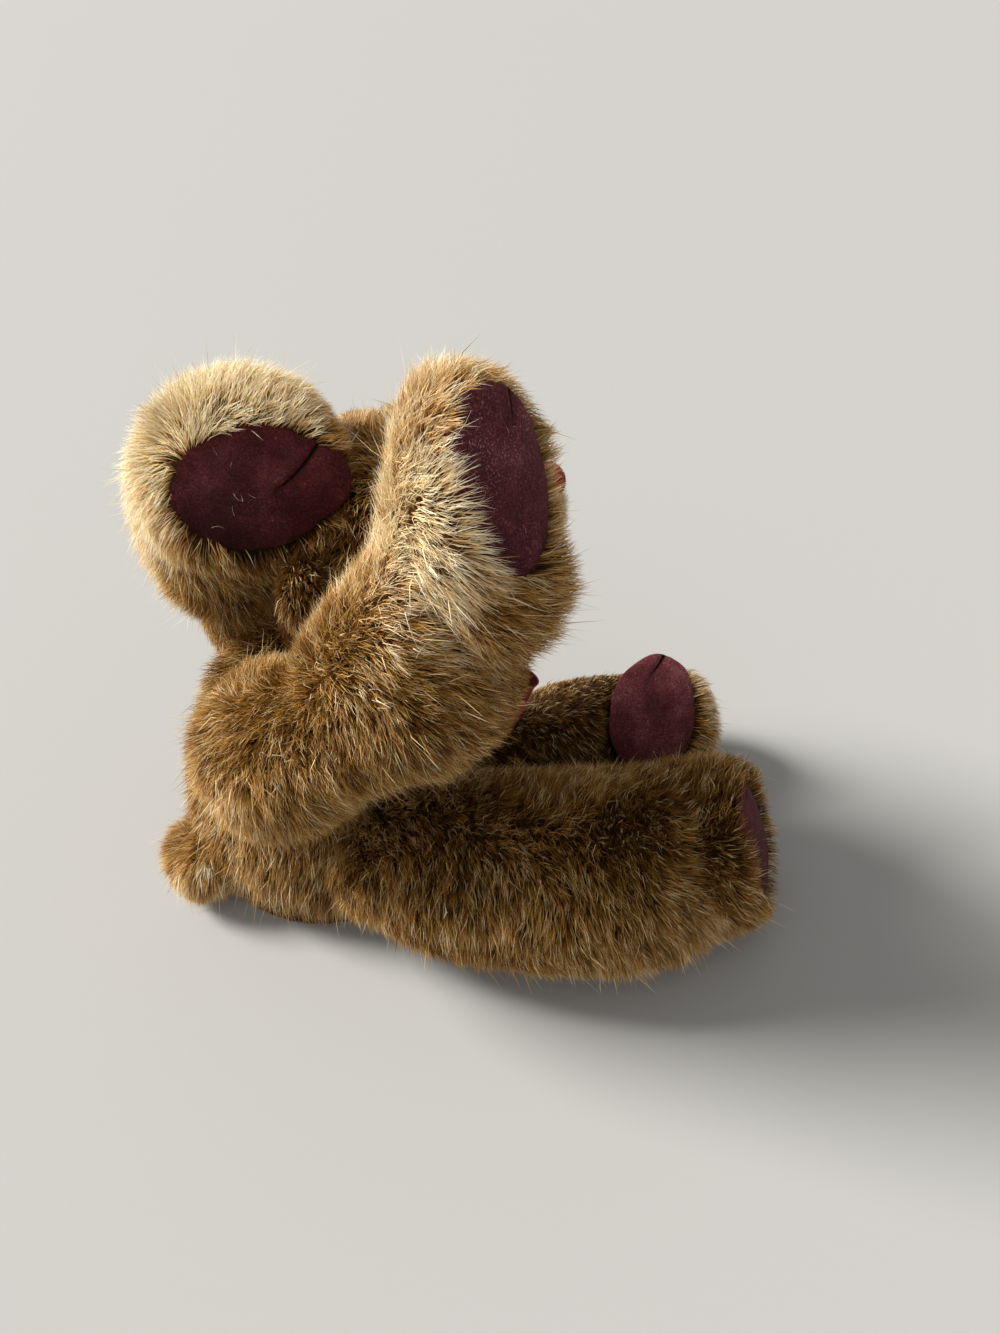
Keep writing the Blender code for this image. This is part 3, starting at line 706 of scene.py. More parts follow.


# ----------------------------------------------------------------- grooming
# Each guide is a place and a lay in the photo's frame (across, down), then the
# lean from upright in degrees, the length's factor and how light the pile is.
# That last column largely paints light and shade: high on the lit upper left of
# the hands and arms, low in the shade on the legs, under the arms and in the
# gaps between parts.
GROOM = {
    "arm_left": [
        (260, 366, 0.25, -1, 28, 1.25, 1.12), (215, 385, -0.15, -1, 28, 1.25, 1.15), (180, 405, -0.6, -0.8, 30, 1.2, 1.15),
        (150, 440, -1, -0.2, 34, 1.05, 1.15), (138, 490, -1, 0.25, 34, 1.05, 1.10), (140, 540, -0.95, 0.55, 34, 1.25, 0.84),
        (158, 580, -0.85, 0.7, 34, 1.50, 0.52), (178, 605, -0.8, 0.7, 36, 1.45, 0.36), (310, 372, 0.6, -1, 30, 0.95, 0.98), (325, 400, 1, -0.4, 46, 0.75, 0.70), (192, 640, 0.9, 0.4, 62, 0.50, 0.20), (190, 622, -0.3, 1, 50, 1.0, 0.24),
        (260, 404, 0.5, -0.6, 44, 1.0, 1.10), (215, 418, 0.3, -0.7, 44, 1.0, 1.12), (178, 455, -0.5, -0.6, 46, 1.0, 1.12), (250, 418, 0.1, 0.9, 40, 0.8, 1.0), (190, 450, 0.6, 0.6, 40, 0.8, 1.0),
        (165, 505, -0.3, 0.9, 46, 0.95, 0.90), (185, 545, 0.1, 1, 48, 1.0, 0.44), (220, 575, 0.3, 1, 48, 1.0, 0.04),
        (200, 605, 0.2, 1, 50, 1.0, 0.20), (250, 590, 0.3, 1, 48, 0.95, -0.15), (255, 560, 0.3, 1, 48, 0.95, -0.10), (292, 615, 0.8, 0.6, 50, 1.9, 0.0), (278, 625, 0.8, 0.6, 50, 1.8, 0.02), (290, 570, 0.3, 1, 50, 1.35, -0.10),
        (320, 545, 0.4, 0.9, 42, 0.9, 0.02), (345, 430, 0.8, -0.4, 34, 0.8, 0.45), (240, 620, 0.2, 1, 45, 1.0, 0.04),
        (280, 600, 0.3, 1, 52, 1.35, -0.10), (300, 590, 0.5, 1, 52, 1.3, 0.05),
    ],
    "arm_right": [
        (460, 363, 0.3, -1, 24, 1.25, 0.86), (420, 385, -0.2, -1, 26, 1.15, 0.84), (500, 372, 0.6, -1, 28, 1.0, 0.66),
        (430, 405, 0.9, -0.35, 42, 0.95, 0.74), (455, 392, 1, 0.2, 44, 1.0, 0.60), (448, 412, 1, 0.1, 44, 1.0, 0.40), (410, 445, 0.5, -1, 64, 1.15, 1.0),
        (440, 440, 0.95, -0.45, 56, 1.0, 0.86), (380, 480, 0.35, -1, 62, 1.1, 0.90), (430, 475, 0.7, -0.9, 64, 1.1, 0.95), (425, 500, 0.85, -0.5, 64, 1.2, 1.0),
        (455, 510, 0.95, -0.4, 60, 1.05, 0.92), (360, 530, 0.35, -1, 56, 1.0, 0.74), (410, 520, 0.8, -0.5, 64, 1.15, 1.0),
        (460, 545, 1, -0.1, 64, 1.1, 0.96), (480, 565, 1, -0.05, 56, 1.05, 0.72), (500, 580, 1, 0.2, 46, 1.0, 0.44),
        (330, 580, 0.4, -0.9, 46, 1.0, 0.54), (370, 575, 0.7, -0.6, 56, 1.0, 0.80), (415, 565, 1, -0.1, 66, 1.15, 1.06),
        (385, 605, 0.95, -0.1, 56, 1.05, 0.66), (430, 598, 1, 0.1, 64, 1.1, 0.92), (442, 630, 1, 0.25, 58, 1.05, 0.66), (360, 615, 0.8, -0.3, 50, 1.0, 0.50), (500, 620, 1, -0.1, 42, 1.0, 0.32),
        (585, 570, 1, -0.5, 28, 1.30, 0.32), (578, 598, 1, -0.35, 26, 1.60, 0.30), (568, 630, 1, -0.1, 28, 1.65, 0.30), (552, 652, 1, 0.05, 32, 1.45, 0.24), (535, 674, 1, 0.0, 38, 1.00, 0.20), (520, 694, 0.9, 0.2, 48, 0.82, 0.16), (505, 712, 0.9, 0.4, 50, 0.72, 0.16), (490, 380, 0.2, 1, 48, 0.85, 0.70), (518, 388, 0.2, 1, 48, 0.85, 0.62),
        (300, 630, 0.35, -0.8, 36, 0.95, 0.42), (250, 660, 0.1, -0.9, 34, 0.95, 0.38), (205, 690, -0.8, -0.2, 28, 1.25, 0.34),
        (345, 640, 0.75, -0.5, 46, 0.95, 0.36), (370, 650, 0.9, -0.2, 48, 0.95, 0.34), (395, 655, 1, 0.0, 50, 0.95, 0.32), (420, 670, 1, 0.1, 48, 0.95, 0.28), (375, 625, 0.9, -0.2, 50, 1.0, 0.46), (450, 690, 1, 0.15, 44, 1.0, 0.26), (480, 650, 1, 0.1, 48, 1.0, 0.34),
        (490, 690, 1, 0.2, 44, 0.9, 0.18), (310, 700, 0.6, 0.1, 10, 0.85, 0.16), (265, 730, -0.1, 0.3, 10, 0.85, 0.14),
        (380, 700, 0.8, 0.2, 20, 0.9, 0.22), (215, 740, -0.8, 0.3, 24, 1.1, 0.24), (330, 740, 0.7, 0.5, 26, 0.95, 0.22),
        (430, 740, 0.8, 0.6, 42, 1.0, 0.24), (220, 800, -0.3, 1, 36, 1.0, 0.34), (260, 810, 0.2, 1, 42, 1.05, 0.36),
        (290, 800, 0.4, 1, 44, 1.05, 0.32), (340, 800, 0.7, 0.8, 44, 1.0, 0.26), (385, 780, 0.75, 0.65, 44, 1.0, 0.22),
    ],
    "torso": [
        (285, 622, -0.1, -1, 30, 1.7, -0.05), (275, 645, 0, 0.2, 20, 1.1, 0.04), (255, 650, -0.2, 1, 34, 1.0, 0.12),
        (205, 835, -0.8, 0.7, 34, 1.3, 0.40), (232, 860, -0.8, 0.6, 30, 1.4, 0.44), (205, 800, -0.6, 0.8, 34, 1.15, 0.34), (235, 885, -0.6, 0.8, 34, 1.35, 0.44), (250, 860, 0, 1, 32, 1.05, 0.38), (300, 850, 0, 1, 34, 0.95, 0.26), (285, 892, 0.1, 1, 40, 1.35, 0.34), (240, 900, -0.1, 1, 40, 1.25, 0.40), (350, 905, 0, 1, 42, 1.3, 0.30),
        (350, 850, 0.05, 1, 34, 1.0, 0.26), (400, 840, 0.1, 1, 34, 1.0, 0.26), (430, 790, 0.4, 0.9, 36, 1.0, 0.22),
        (470, 760, 0.4, 0.8, 34, 1.0, 0.22), (490, 730, 0.6, 0.6, 34, 1.0, 0.18),
    ],
    "tail": [(180, 845, -0.8, 0.6, 40, 1.15, 0.36), (205, 825, -0.5, 0.6, 34, 1.3, 0.26), (200, 885, -0.3, 1, 40, 1.15, 0.44), (225, 860, 0.1, 1, 34, 1.4, 0.36), (225, 880, 0.2, 1, 34, 1.4, 0.42), (180, 870, -0.6, 0.8, 40, 1.1, 0.44)],
    "leg_right": [
        (591, 774, 0, -1, 22, 0.9, 0.24), (674, 763, 0.1, -1, 26, 0.9, 0.26), (716, 755, 0.5, -0.8, 28, 0.9, 0.32),
        (688, 847, 0.2, 0, 6, 0.80, 0.08), (640, 830, 0, 0.1, 10, 0.85, 0.10), (600, 850, -0.1, 0.5, 24, 0.9, 0.16),
        (535, 852, 0.2, 0.3, 20, 0.9, 0.22), (508, 894, -0.2, 1, 40, 1.0, 0.26), (563, 908, 0, 1, 42, 1.0, 0.25),
        (633, 916, 0.25, 1, 42, 1.0, 0.25), (674, 922, 0.5, 0.9, 42, 1.0, 0.26), (716, 930, 0.7, 0.6, 40, 1.0, 0.34),
        (747, 922, 0.9, 0.4, 36, 1.0, 0.34), (722, 880, 0.2, -0.1, 16, 0.8, 0.20), (718, 824, 0.0, -0.2, 12, 0.70, 0.18),
        (722, 786, 0.2, -0.5, 18, 0.75, 0.24), (420, 900, 0.1, 1, 40, 1.0, 0.22), (460, 930, 0, 1, 42, 1.0, 0.24),
        (620, 965, 0.1, 1, 38, 1.25, 0.28), (690, 955, 0.4, 1, 34, 1.45, 0.30), (450, 860, 0.1, 0.8, 34, 0.9, 0.18),
        (480, 820, 0.2, 0.2, 22, 0.9, 0.14), (540, 800, 0.0, -0.6, 20, 0.9, 0.18),
    ],
    "leg_left": [
        (545, 702, 0.2, -0.1, 62, 0.40, 0.00), (590, 740, 0.2, 0.3, 30, 0.8, 0.00), (600, 690, 0.6, -0.1, 62, 0.38, 0.12), (570, 690, 0.5, -0.1, 62, 0.36, 0.06), (530, 740, 0.2, 0.3, 34, 0.8, -0.15), (550, 760, 0.2, 0.3, 34, 0.8, -0.15),
        (712, 690, 1, -0.3, 30, 0.85, 0.66), (700, 725, 0.3, 0.2, 28, 0.8, 0.52), (610, 720, 0.7, 0.3, 40, 0.6, 0.08),
    ],
    # the ear gets the darkest tone: painted shade in the gap between the arms
    "ear_right": [(295, 585, 0.3, 1, 40, 0.8, 0.00), (305, 600, 0.3, 1, 40, 0.8, 0.00), (285, 600, 0.3, 1, 40, 0.8, 0.00)],
    "muzzle": [(548, 462, 0.2, -1, 16, 1.9, 0.62), (556, 470, 0.4, -1, 16, 1.8, 0.66), (562, 495, 1, -0.5, 26, 1.3, 0.62), (562, 515, 1, 0.0, 34, 1.1, 0.55)],
    "head": [(343, 397, 0.2, -1, 30, 1.0, 0.56), (335, 440, 0.3, -1, 30, 0.9, 0.40), (330, 520, 0.2, 1, 30, 0.8, 0.08),
             (285, 615, -0.1, 1, 44, 1.8, -0.05), (290, 580, 0.1, 1, 34, 0.75, 0.0), (310, 555, 0.1, 1, 34, 0.75, 0.0)],
}


def ray_of(u, w):
    return unit(CR * (u - 500.0) / 1000.0 - CU * (w - 666.5) / 1000.0 + CF)


def placed(key, u, w):
    """The point of a skin that a place in the photo's frame falls on, or the
    nearest one to it where it falls beside the skin."""
    r = ray_of(u, w)
    hit, _, _, _ = trees[key].ray_cast(Vector(CAM), Vector(r))
    if hit is not None:
        return np.array(hit)
    best = None
    for t in np.linspace(0.28, 0.66, 60):
        hit, _, _, dist = trees[key].find_nearest(Vector(CAM + r * t))
        if best is None or dist < best[0]:
            best = (dist, np.array(hit))
    return best[1]


EXTRA = {key: [] for key in skins}


def guides(key):
    P, D, L, S, T, W = [], [], [], [], [], []
    for u, w, du, dw, lean, size, tone in GROOM.get(key, ()):
        P.append(placed(key, u, w))
        D.append(unit(CR * du - CU * dw))
        L.append(lean), S.append(size), T.append(tone), W.append(0.0085)
    for p, d, lean, size, tone, wide in EXTRA[key]:
        P.append(p), D.append(unit(d)), L.append(lean), S.append(size), T.append(tone), W.append(wide)
    return P, D, L, S, T, W


def rim_guides(key, side, lay, lean, size, tone, span=(-0.8, 0.8), out=1.12, back=0.004, wide=0.0075, count=5):
    """Guides along the part of a sole's rim that faces side."""
    c, n, m = LIMBS[key]["sole"]
    n, m, s = axes_of(n, m)
    c = np.asarray(c) + OFF
    a, b, dm, ds = LIMBS[key]["rim"]
    x, y = side @ m, side @ s
    mid = math.atan2(y, x)
    for k in range(count):
        ang = mid + span[0] + (span[1] - span[0]) * k / (count - 1)
        q = c + m * (dm * 0.8 + math.cos(ang) * (a - PILE) * out) + s * (ds * 0.8 + math.sin(ang) * (b - PILE) * out) - n * back
        EXTRA[key].append((q, lay, lean, size, tone, wide))


N_HAND = axes_of(*LIMBS["arm_right"]["sole"][1:])[0]
# the right rim of the near hand gets a light tone: painted light on pile that faces away from the lamp
for back_, lean_, size_ in ((0.002, 22, 0.90), (0.010, 28, 0.95)):
    rim_guides("arm_right", CR, CR * 0.8 + CU * 0.5, lean_, size_, 0.66, span=(0.40, 1.20), back=back_)
for back_ in (0.003, 0.012):
    rim_guides("arm_right", CR, CR * 0.7 - N_HAND * 0.5 + CU * 0.5, 44, 0.55, 0.62, span=(-0.20, 0.20), back=back_, count=3)


# ---------------------------------------------------------------- the pile
def rotate(vec, axis, angle):
    """Rodrigues, vectorised."""
    c, s = np.cos(angle)[:, None], np.sin(angle)[:, None]
    return vec * c + np.cross(axis, vec) * s + axis * (axis * vec).sum(1, keepdims=True) * (1 - c)


def group_mean(points, ids, count):
    n = np.maximum(np.bincount(ids, minlength=count), 1)[:, None]
    return np.stack([np.bincount(ids, points[:, k], minlength=count) for k in range(3)], 1) / n


def clumps(p, size, seed):
    w = np.stack([noise(p, size * 1.7, seed + k) for k in range(3)], 1) * size * 0.8
    q = np.floor((p + w) / size).astype(np.int64)
    key = (q[:, 0] * 73856093) ^ (q[:, 1] * 19349663) ^ (q[:, 2] * 83492791)
    _, ids = np.unique(key, return_inverse=True)
    return ids, ids.max() + 1


def grow(name, key, count, length, flow, seed, mat, lean=30.0, droop=0.20, width=0.00029,
         keep=None, tone=0.45, clump=0.46, clump_size=0.0021):
    """Blades of pile on a skin: curved, tapered, gathered in wisps. The guides
    of GROOM turn, lean, lengthen and set how light the pile is around them,
    which largely paints light and shade into it."""
    rng = np.random.default_rng(seed)
    co, no, tri = arrays(skins[key])
    a, b, c = co[tri[:, 0]], co[tri[:, 1]], co[tri[:, 2]]
    area = np.linalg.norm(np.cross(b - a, c - a), axis=1) / 2
    mid = (a + b + c) / 3
    weight = area * ~buried(mid, key, 0.0015)
    weight[mid[:, 2] < 0.0030] *= 0.35
    if keep is not None:
        weight = weight * (keep(mid) > 0)
    pick = rng.choice(len(tri), count, p=weight / weight.sum())
    r1, r2 = rng.random(len(pick)), rng.random(len(pick))
    s1 = np.sqrt(r1)
    w0, w1, w2 = (1 - s1)[:, None], (s1 * (1 - r2))[:, None], (s1 * r2)[:, None]
    p = a[pick] * w0 + b[pick] * w1 + c[pick] * w2
    n = unit(no[tri[pick, 0]] * w0 + no[tri[pick, 1]] * w1 + no[tri[pick, 2]] * w2)
    if keep is not None:
        ok = keep(p) > 0
        p, n = p[ok], n[ok]
    N = len(p)
    gp, gd, gl, gs, gt, gw = guides(key)
    base = flow(p, n)
    base = unit(base - n * (base * n).sum(1, keepdims=True) + 1e-6)
    wsum = np.full(N, 0.12)
    f = base * 0.12
    th, sc, T = wsum * lean, wsum * 1.0, wsum * tone
    for i in range(len(gp)):
        w = np.exp(-((p - gp[i]) ** 2).sum(1) / (2 * gw[i] ** 2))
        f = f + gd[i] * w[:, None]
        th, sc, T, wsum = th + w * gl[i], sc + w * gs[i], T + w * gt[i], wsum + w
    th, sc, T = th / wsum, sc / wsum, T / wsum
    f = unit(f - n * (f * n).sum(1, keepdims=True) + base * 1e-3)
    turn = noise(p, 0.018, seed + 1) * 0.45 + noise(p, 0.0055, seed + 2) * 0.50 + rng.normal(0, 0.30, N)
    f = rotate(f, n, turn)
    th = np.radians(th) + noise(p, 0.008, seed + 3) * 0.24 + rng.normal(0, 0.17, N)
    th = np.clip(th, 0.12, 1.40)
    L = length * sc * (0.70 + 0.42 * rng.random(N) + 0.16 * noise(p, 0.010, seed + 4))
    stray = rng.random(N) < 0.030
    L = np.where(stray, L * rng.uniform(1.10, 1.45, N), L)
    d0 = n * np.cos(th - 0.16)[:, None] + f * np.sin(th - 0.16)[:, None]
    bend = 0.26 + rng.normal(0, 0.22, N)
    d1 = n * np.cos(th + bend)[:, None] + f * np.sin(th + bend)[:, None] + np.array((0, 0, -droop))
    loose = 0.12 + 0.26 * np.clip(1 - th / 0.85, 0, 1)
    d1 = unit(d1 + rng.normal(0, 1, (N, 3)) * loose[:, None])
    d0 = unit(d0 + rng.normal(0, 0.07, (N, 3)))
    pts = [p - n * 0.0006, p + d0 * (L * 0.5)[:, None], None]
    pts[2] = pts[1] + d1 * (L * 0.5)[:, None]
    ts = [0.0, 0.52, 1.0]
    for size, pull, sd in ((clump_size, clump, 5), (clump_size * 2.6, clump * 0.35, 9)):
        ids, cnt = clumps(p, size, seed + sd)
        mean_root = group_mean(p, ids, cnt)[ids]
        mean_tip = group_mean(pts[-1], ids, cnt)[ids]
        shift = mean_tip + (p - mean_root) * 0.25 - pts[-1]
        k = (pull * (0.4 + 1.1 * rng.random(N)) * ~stray)[:, None]
        for i, t in enumerate(ts):
            if i:
                pts[i] = pts[i] + shift * k * t ** 1.5
    for q in pts:
        q[:, 2] = np.maximum(q[:, 2], 0.0005 + 0.0012 * rng.random(N))
    # how light each blade is: the guides' tones (largely painted light and shade), patches, wisps and chance; strays
    # are lighter, a painted rim light
    ids, cnt = clumps(p, clump_size * 1.2, seed + 21)
    wisp = np.random.default_rng(seed + 5).normal(0, 0.15, cnt)[ids]
    T = T + 0.14 * noise(p, 0.016, seed + 6) + 0.13 * noise(p, 0.005, seed + 7) + wisp + rng.normal(0, 0.12, N) + 0.3 * stray
    T = np.clip(T, 0, 0.999)
    K = rng.integers(0, KINDS, N)
    K = np.where((K >= KINDS - 2) & (rng.random(N) < 0.25 - T * 0.2), rng.integers(0, KINDS - 2, N), K)
    u0 = (np.floor(T * TONES) + (K + 0.18) / KINDS) / TONES
    u1 = (np.floor(T * TONES) + (K + 0.82) / KINDS) / TONES
    wide = width * (0.75 + 0.5 * rng.random(N))
    ref = unit(n + rng.normal(0, 0.55, (N, 3)))
    rows = []
    taper = {3: (0.85, 1.0, 0.0), 4: (0.8, 1.0, 0.75, 0.0)}[len(pts)]
    for i, q in enumerate(pts):
        nxt = pts[min(i + 1, len(pts) - 1)] - pts[max(i - 1, 0)]
        side = unit(np.cross(unit(nxt), ref))
        if taper[i]:
            rows += [q - side * (wide * taper[i] / 2)[:, None], q + side * (wide * taper[i] / 2)[:, None]]
        else:
            rows += [q]
    per = len(rows)
    verts = np.stack(rows, 1).reshape(-1, 3)
    base = (np.arange(N) * per)[:, None]
    quads = [(2 * i, 2 * i + 1, 2 * i + 3, 2 * i + 2) for i in range(len(pts) - 2)]
    k = 2 * (len(pts) - 2)
    loops, starts, totals, uvs = [], [], [], []
    vrow = []
    for i, t in enumerate(ts[:-1]):
        vrow += [(u0, t), (u1, t)]
    vrow += [((u0 + u1) / 2, 1.0)]
    order = []
    for qd in quads:
        order += list(qd)
    order += [k, k + 1, k + 2]
    loop_idx = (base + np.array(order)[None]).ravel()
    lens = np.array([4] * len(quads) + [3])
    totals = np.tile(lens, N)
    starts = np.concatenate([[0], np.cumsum(totals)[:-1]])
    uv = np.empty((N, len(order), 2))
    for j, o in enumerate(order):
        uv[:, j, 0] = vrow[o][0]
        uv[:, j, 1] = 0.01 + 0.98 * vrow[o][1]
    me = bpy.data.meshes.new(name)
    me.vertices.add(len(verts))
    me.vertices.foreach_set("co", verts.ravel())
    me.loops.add(len(loop_idx))
    me.loops.foreach_set("vertex_index", loop_idx)
    me.polygons.add(len(totals))
    me.polygons.foreach_set("loop_start", starts)
    me.polygons.foreach_set("loop_total", totals)
    for lay in ("Hair", "OFBake"):
        me.uv_layers.new(name=lay)
    for lay in ("Hair", "OFBake"):
        me.uv_layers[lay].data.foreach_set("uv", uv.ravel())
    me.uv_layers.active = me.uv_layers["OFBake"]
    me.polygons.foreach_set("use_smooth", np.ones(len(totals), bool))
    me.update(calc_edges=True)
    me.materials.append(mat)
    ob = bpy.data.objects.new(name, me)
    bpy.context.scene.collection.objects.link(ob)
    TRIS[name] = N * (2 * len(quads) + 1)
    return ob


TRIS = {}


def along(path):
    """Flow towards the end of a path of points."""
    path = np.array([np.asarray(q) + OFF for q in path])

    def flow(p, n):
        best, out = np.full(len(p), 9.0), np.zeros_like(p)
        for q0, q1 in zip(path[:-1], path[1:]):
            d = q1 - q0
            t = np.clip(((p - q0) @ d) / (d @ d), 0, 1)
            dist = np.linalg.norm(p - (q0 + t[:, None] * d), axis=1)
            near = dist < best
            best = np.where(near, dist, best)
            out[near] = unit(d)
        return out

    return flow


def outline(key, ang):
    """How far each sole's worn edge draws in from its ellipse, by direction."""
    out = np.ones_like(ang)
    for at, wide, depth in EDGES.get(key, ()):
        gap = (ang - math.radians(at) + math.pi) % (2 * math.pi) - math.pi
        out = out - depth * np.exp(-(gap / math.radians(wide)) ** 2)
    return out


EDGES = {
    "arm_left": ((-90, 32, 0.05), (-45, 26, 0.11), (50, 24, 0.11), (-140, 24, 0.05)),
    "arm_right": ((-90, 45, 0.06),),
    "leg_left": ((-90, 40, 0.06),),
}


def off_sole(key, spec, grow_by=1.0):
    """No pile inside the sole's outline."""
    c, n, m = spec["sole"]
    n, m, s = axes_of(n, m)
    c = np.asarray(c) + OFF

    def keep(p):
        d = p - c
        x, y = d @ m / (SOLE_LONG * grow_by), d @ s / (SOLE_WIDE * grow_by)
        r = np.hypot(x, y) / outline(key, np.arctan2(y, x))
        return np.where((r < 0.97) & (np.abs(d @ n) < 0.006), 0.0, 1.0)

    return keep


def limb_flow(spec):
    c, n, m = spec["sole"]
    n, m, s = axes_of(n, m)
    c0 = np.asarray(c) + OFF
    path = [q[0] for q in spec["stations"]] + [np.asarray(c) - n * 0.018, np.asarray(c)]
    base = along(path)

    def flow(p, nn):
        f = base(p, nn)
        d = p - c0
        near = np.clip(1 - np.abs(d @ n) / 0.014, 0, 1)[:, None]
        radial = unit(d - (d @ n)[:, None] * n)
        return f * (1 - 0.2 * near) + radial * 0.55 * near + np.array((0, 0, -0.15))

    return flow


DETAIL = 1.0
fur = {}
# base tones per piece: the legs darker than the arms, painted shade where the arms and body shadow them
plan = {
    "arm_right": dict(count=60000, length=0.0122, seed=101, tone=0.40),
    "arm_left": dict(count=42000, length=0.0118, seed=102, tone=0.45),
    "leg_right": dict(count=56000, length=0.0114, seed=103, tone=0.30),
    "leg_left": dict(count=26000, length=0.0108, seed=104, tone=0.20),
}
for key, opt in plan.items():
    spec = LIMBS[key]
    fur[key] = grow(
        key + "_pile", key, int(opt["count"] * DETAIL), opt["length"], limb_flow(spec), opt["seed"], m_fur,
        keep=off_sole(key, spec), tone=opt["tone"],
    )
down = lambda p, n: np.tile(np.array((0.0, 0.0, -1.0)), (len(p), 1))
fur["torso"] = grow("torso_pile", "torso", int(40000 * DETAIL), 0.0112, down, 105, m_fur, tone=0.36)
back = lambda p, n: np.tile(-FACE, (len(p), 1)) + np.array((0, 0, -0.2))
EYES = [unit(FACE * 0.88 + SIDE * 0.36 * k + CROWN * 0.26) for k in (1, -1)]


def off_eyes(p):
    d = unit(p - (HEAD_C + OFF))
    near = np.maximum(d @ EYES[0], d @ EYES[1])
    return (near < math.cos(0.0066 / HEAD_R)) * 1.0


fur["head"] = grow("head_pile", "head", int(36000 * DETAIL), 0.0110, back, 106, m_fur, keep=off_eyes, tone=0.45)
fur["nose"] = grow("nose_fuzz", "nose", int(4000 * DETAIL), 0.0010, back, 111, m_fuzz, width=0.00012,
                   clump=0.2, clump_size=0.0008, droop=0.0, tone=0.5)
away = lambda p, n: unit(p - (HEAD_C + OFF))
for key, sd in (("ear_right", 107), ("ear_left", 108)):
    fur[key] = grow(key + "_pile", key, int(5500 * DETAIL), 0.0085, away, sd, m_fur, width=0.00026, tone=0.45)
behind = lambda p, n: np.tile(np.array((-0.1, 0.8, -0.6)), (len(p), 1))
fur["tail"] = grow("tail_pile", "tail", int(8500 * DETAIL), 0.0105, behind, 109, m_fur, tone=0.42)
fur["muzzle"] = grow("muzzle_pile", "muzzle", int(8000 * DETAIL), 0.0046, back, 110, m_cream,
                     width=0.00024, clump=0.3, clump_size=0.0016, tone=0.5)
print("triangles", sum(TRIS.values()), TRIS)


# ------------------------------------------------------------ velvet soles
def sole(name, key, centre, normal, axis, dart, seed, low, high, crown=0.0042):
    """A velvet sole: crowned, pulled in at its seam, with one stitched dart."""
    n, m, s = axes_of(normal, axis)
    c = np.asarray(centre) + OFF + n * GAP
    R, S = 36, 104
    verts = []
    edge = outline(key, np.arange(S) * 2 * math.pi / S)
    (x0, y0), (x1, y1) = dart
    ex, ey = x1 - x0, y1 - y0
    ll = math.hypot(ex, ey)
    across = m * (-ey / ll) + s * (ex / ll)
    bend = BOWS[key] * (1 if across @ (CR - CU) > 0 else -1)
    for i in range(R + 1):
        r = (i / R)
        for j in range(S):
            ang = 2 * math.pi * j / S
            wob = edge[j] * (1 + 0.022 * math.sin(3 * ang + seed) + 0.012 * math.sin(7 * ang + 2 * seed))
            x, y = r * math.cos(ang) * SOLE_LONG * 1.05 * wob, r * math.sin(ang) * SOLE_WIDE * 1.06 * wob
            h = crown * (1 - r ** 2.6) ** 0.8
            # gathers along the seam
            h += 0.00018 * math.sin(ang * 34 + seed) * max(0, r - 0.72) / 0.28
            # the dart
            t = ((x - x0) * ex + (y - y0) * ey) / (ll * ll)
            tc = min(max(t, 0.0), 1.0)
            bow = bend * 4 * tc * (1 - tc)
            px_, py_ = x0 + ex * tc - ey / ll * bow, y0 + ey * tc + ex / ll * bow
            dist = math.hypot(x - px_, y - py_)
            wdt = 0.00085 * (1.0 - 0.75 * tc)
            sidev = ((x - px_) * -ey + (y - py_) * ex) / ll
            h -= 0.0013 * math.exp(-(dist / (wdt * 1.5)) ** 2) * (1 - 0.3 * tc)
            h += 0.0006 * math.exp(-(dist / 0.0040) ** 2) * (1 if sidev < 0 else -0.3) * (1 - tc * 0.5)
            verts.append((x, y, h))
    V = np.array(verts)
    P0 = V[:, :1] * m + V[:, 1:2] * s
    W = c + P0 + V[:, 2:3] * n
    W = W + n * (noise(W, 0.011, seed)[:, None] * 0.00055 + noise(W, 0.0035, seed + 1)[:, None] * 0.00012)
    faces = []
    for i in range(R):
        for j in range(S):
            k = (j + 1) % S
            faces.append((i * S + j, (i + 1) * S + j, (i + 1) * S + k, i * S + k))
    # close it underneath
    nb = len(W)
    under = c + 0.97 * P0[R * S:] - n * 0.0010
    W = np.vstack([W, under, (c - n * 0.0010)[None]])
    for j in range(S):
        k = (j + 1) % S
        faces.append((R * S + j, nb + j, nb + k, R * S + k))
        faces.append((nb + j, nb + S, nb + k))
    ends = [c + m * x + s * y + n * h for x, y, h in ((x0, y0, 0.0002), (x1, y1, crown * 0.62))]
    # painted light and shade: each sole is lighter towards the frame's up and darker towards its bottom
    lit_towards = CU - n * (CU @ n)
    lit_towards = lit_towards / np.linalg.norm(lit_towards) / 0.048
    ob = mesh_object(name, W, faces, velvet_material(name, *VELVET, dart=(*ends, n, across, bend), painted_shading=(c, lit_towards, low, high), dust=DUST[key]))
    bm = bmesh.new()
    bm.from_mesh(ob.data)
    bmesh.ops.remove_doubles(bm, verts=bm.verts, dist=1e-6)
    bmesh.ops.recalc_face_normals(bm, faces=bm.faces)
    bm.to_mesh(ob.data)
    bm.free()
    return ob


def on_sole(spec, u, w):
    """Where a point of the photo's frame falls on a sole, along its two axes."""
    c, n, m = spec["sole"]
    n, m, s = axes_of(n, m)
    c = np.asarray(c) + OFF + n * 0.004
    ray = CR * (u - 500.0) / 1000.0 - CU * (w - 666.5) / 1000.0 + CF
    t = ((c - CAM) @ n) / (ray @ n)
    d = CAM + ray * t - c
    return float(d @ m), float(d @ s)


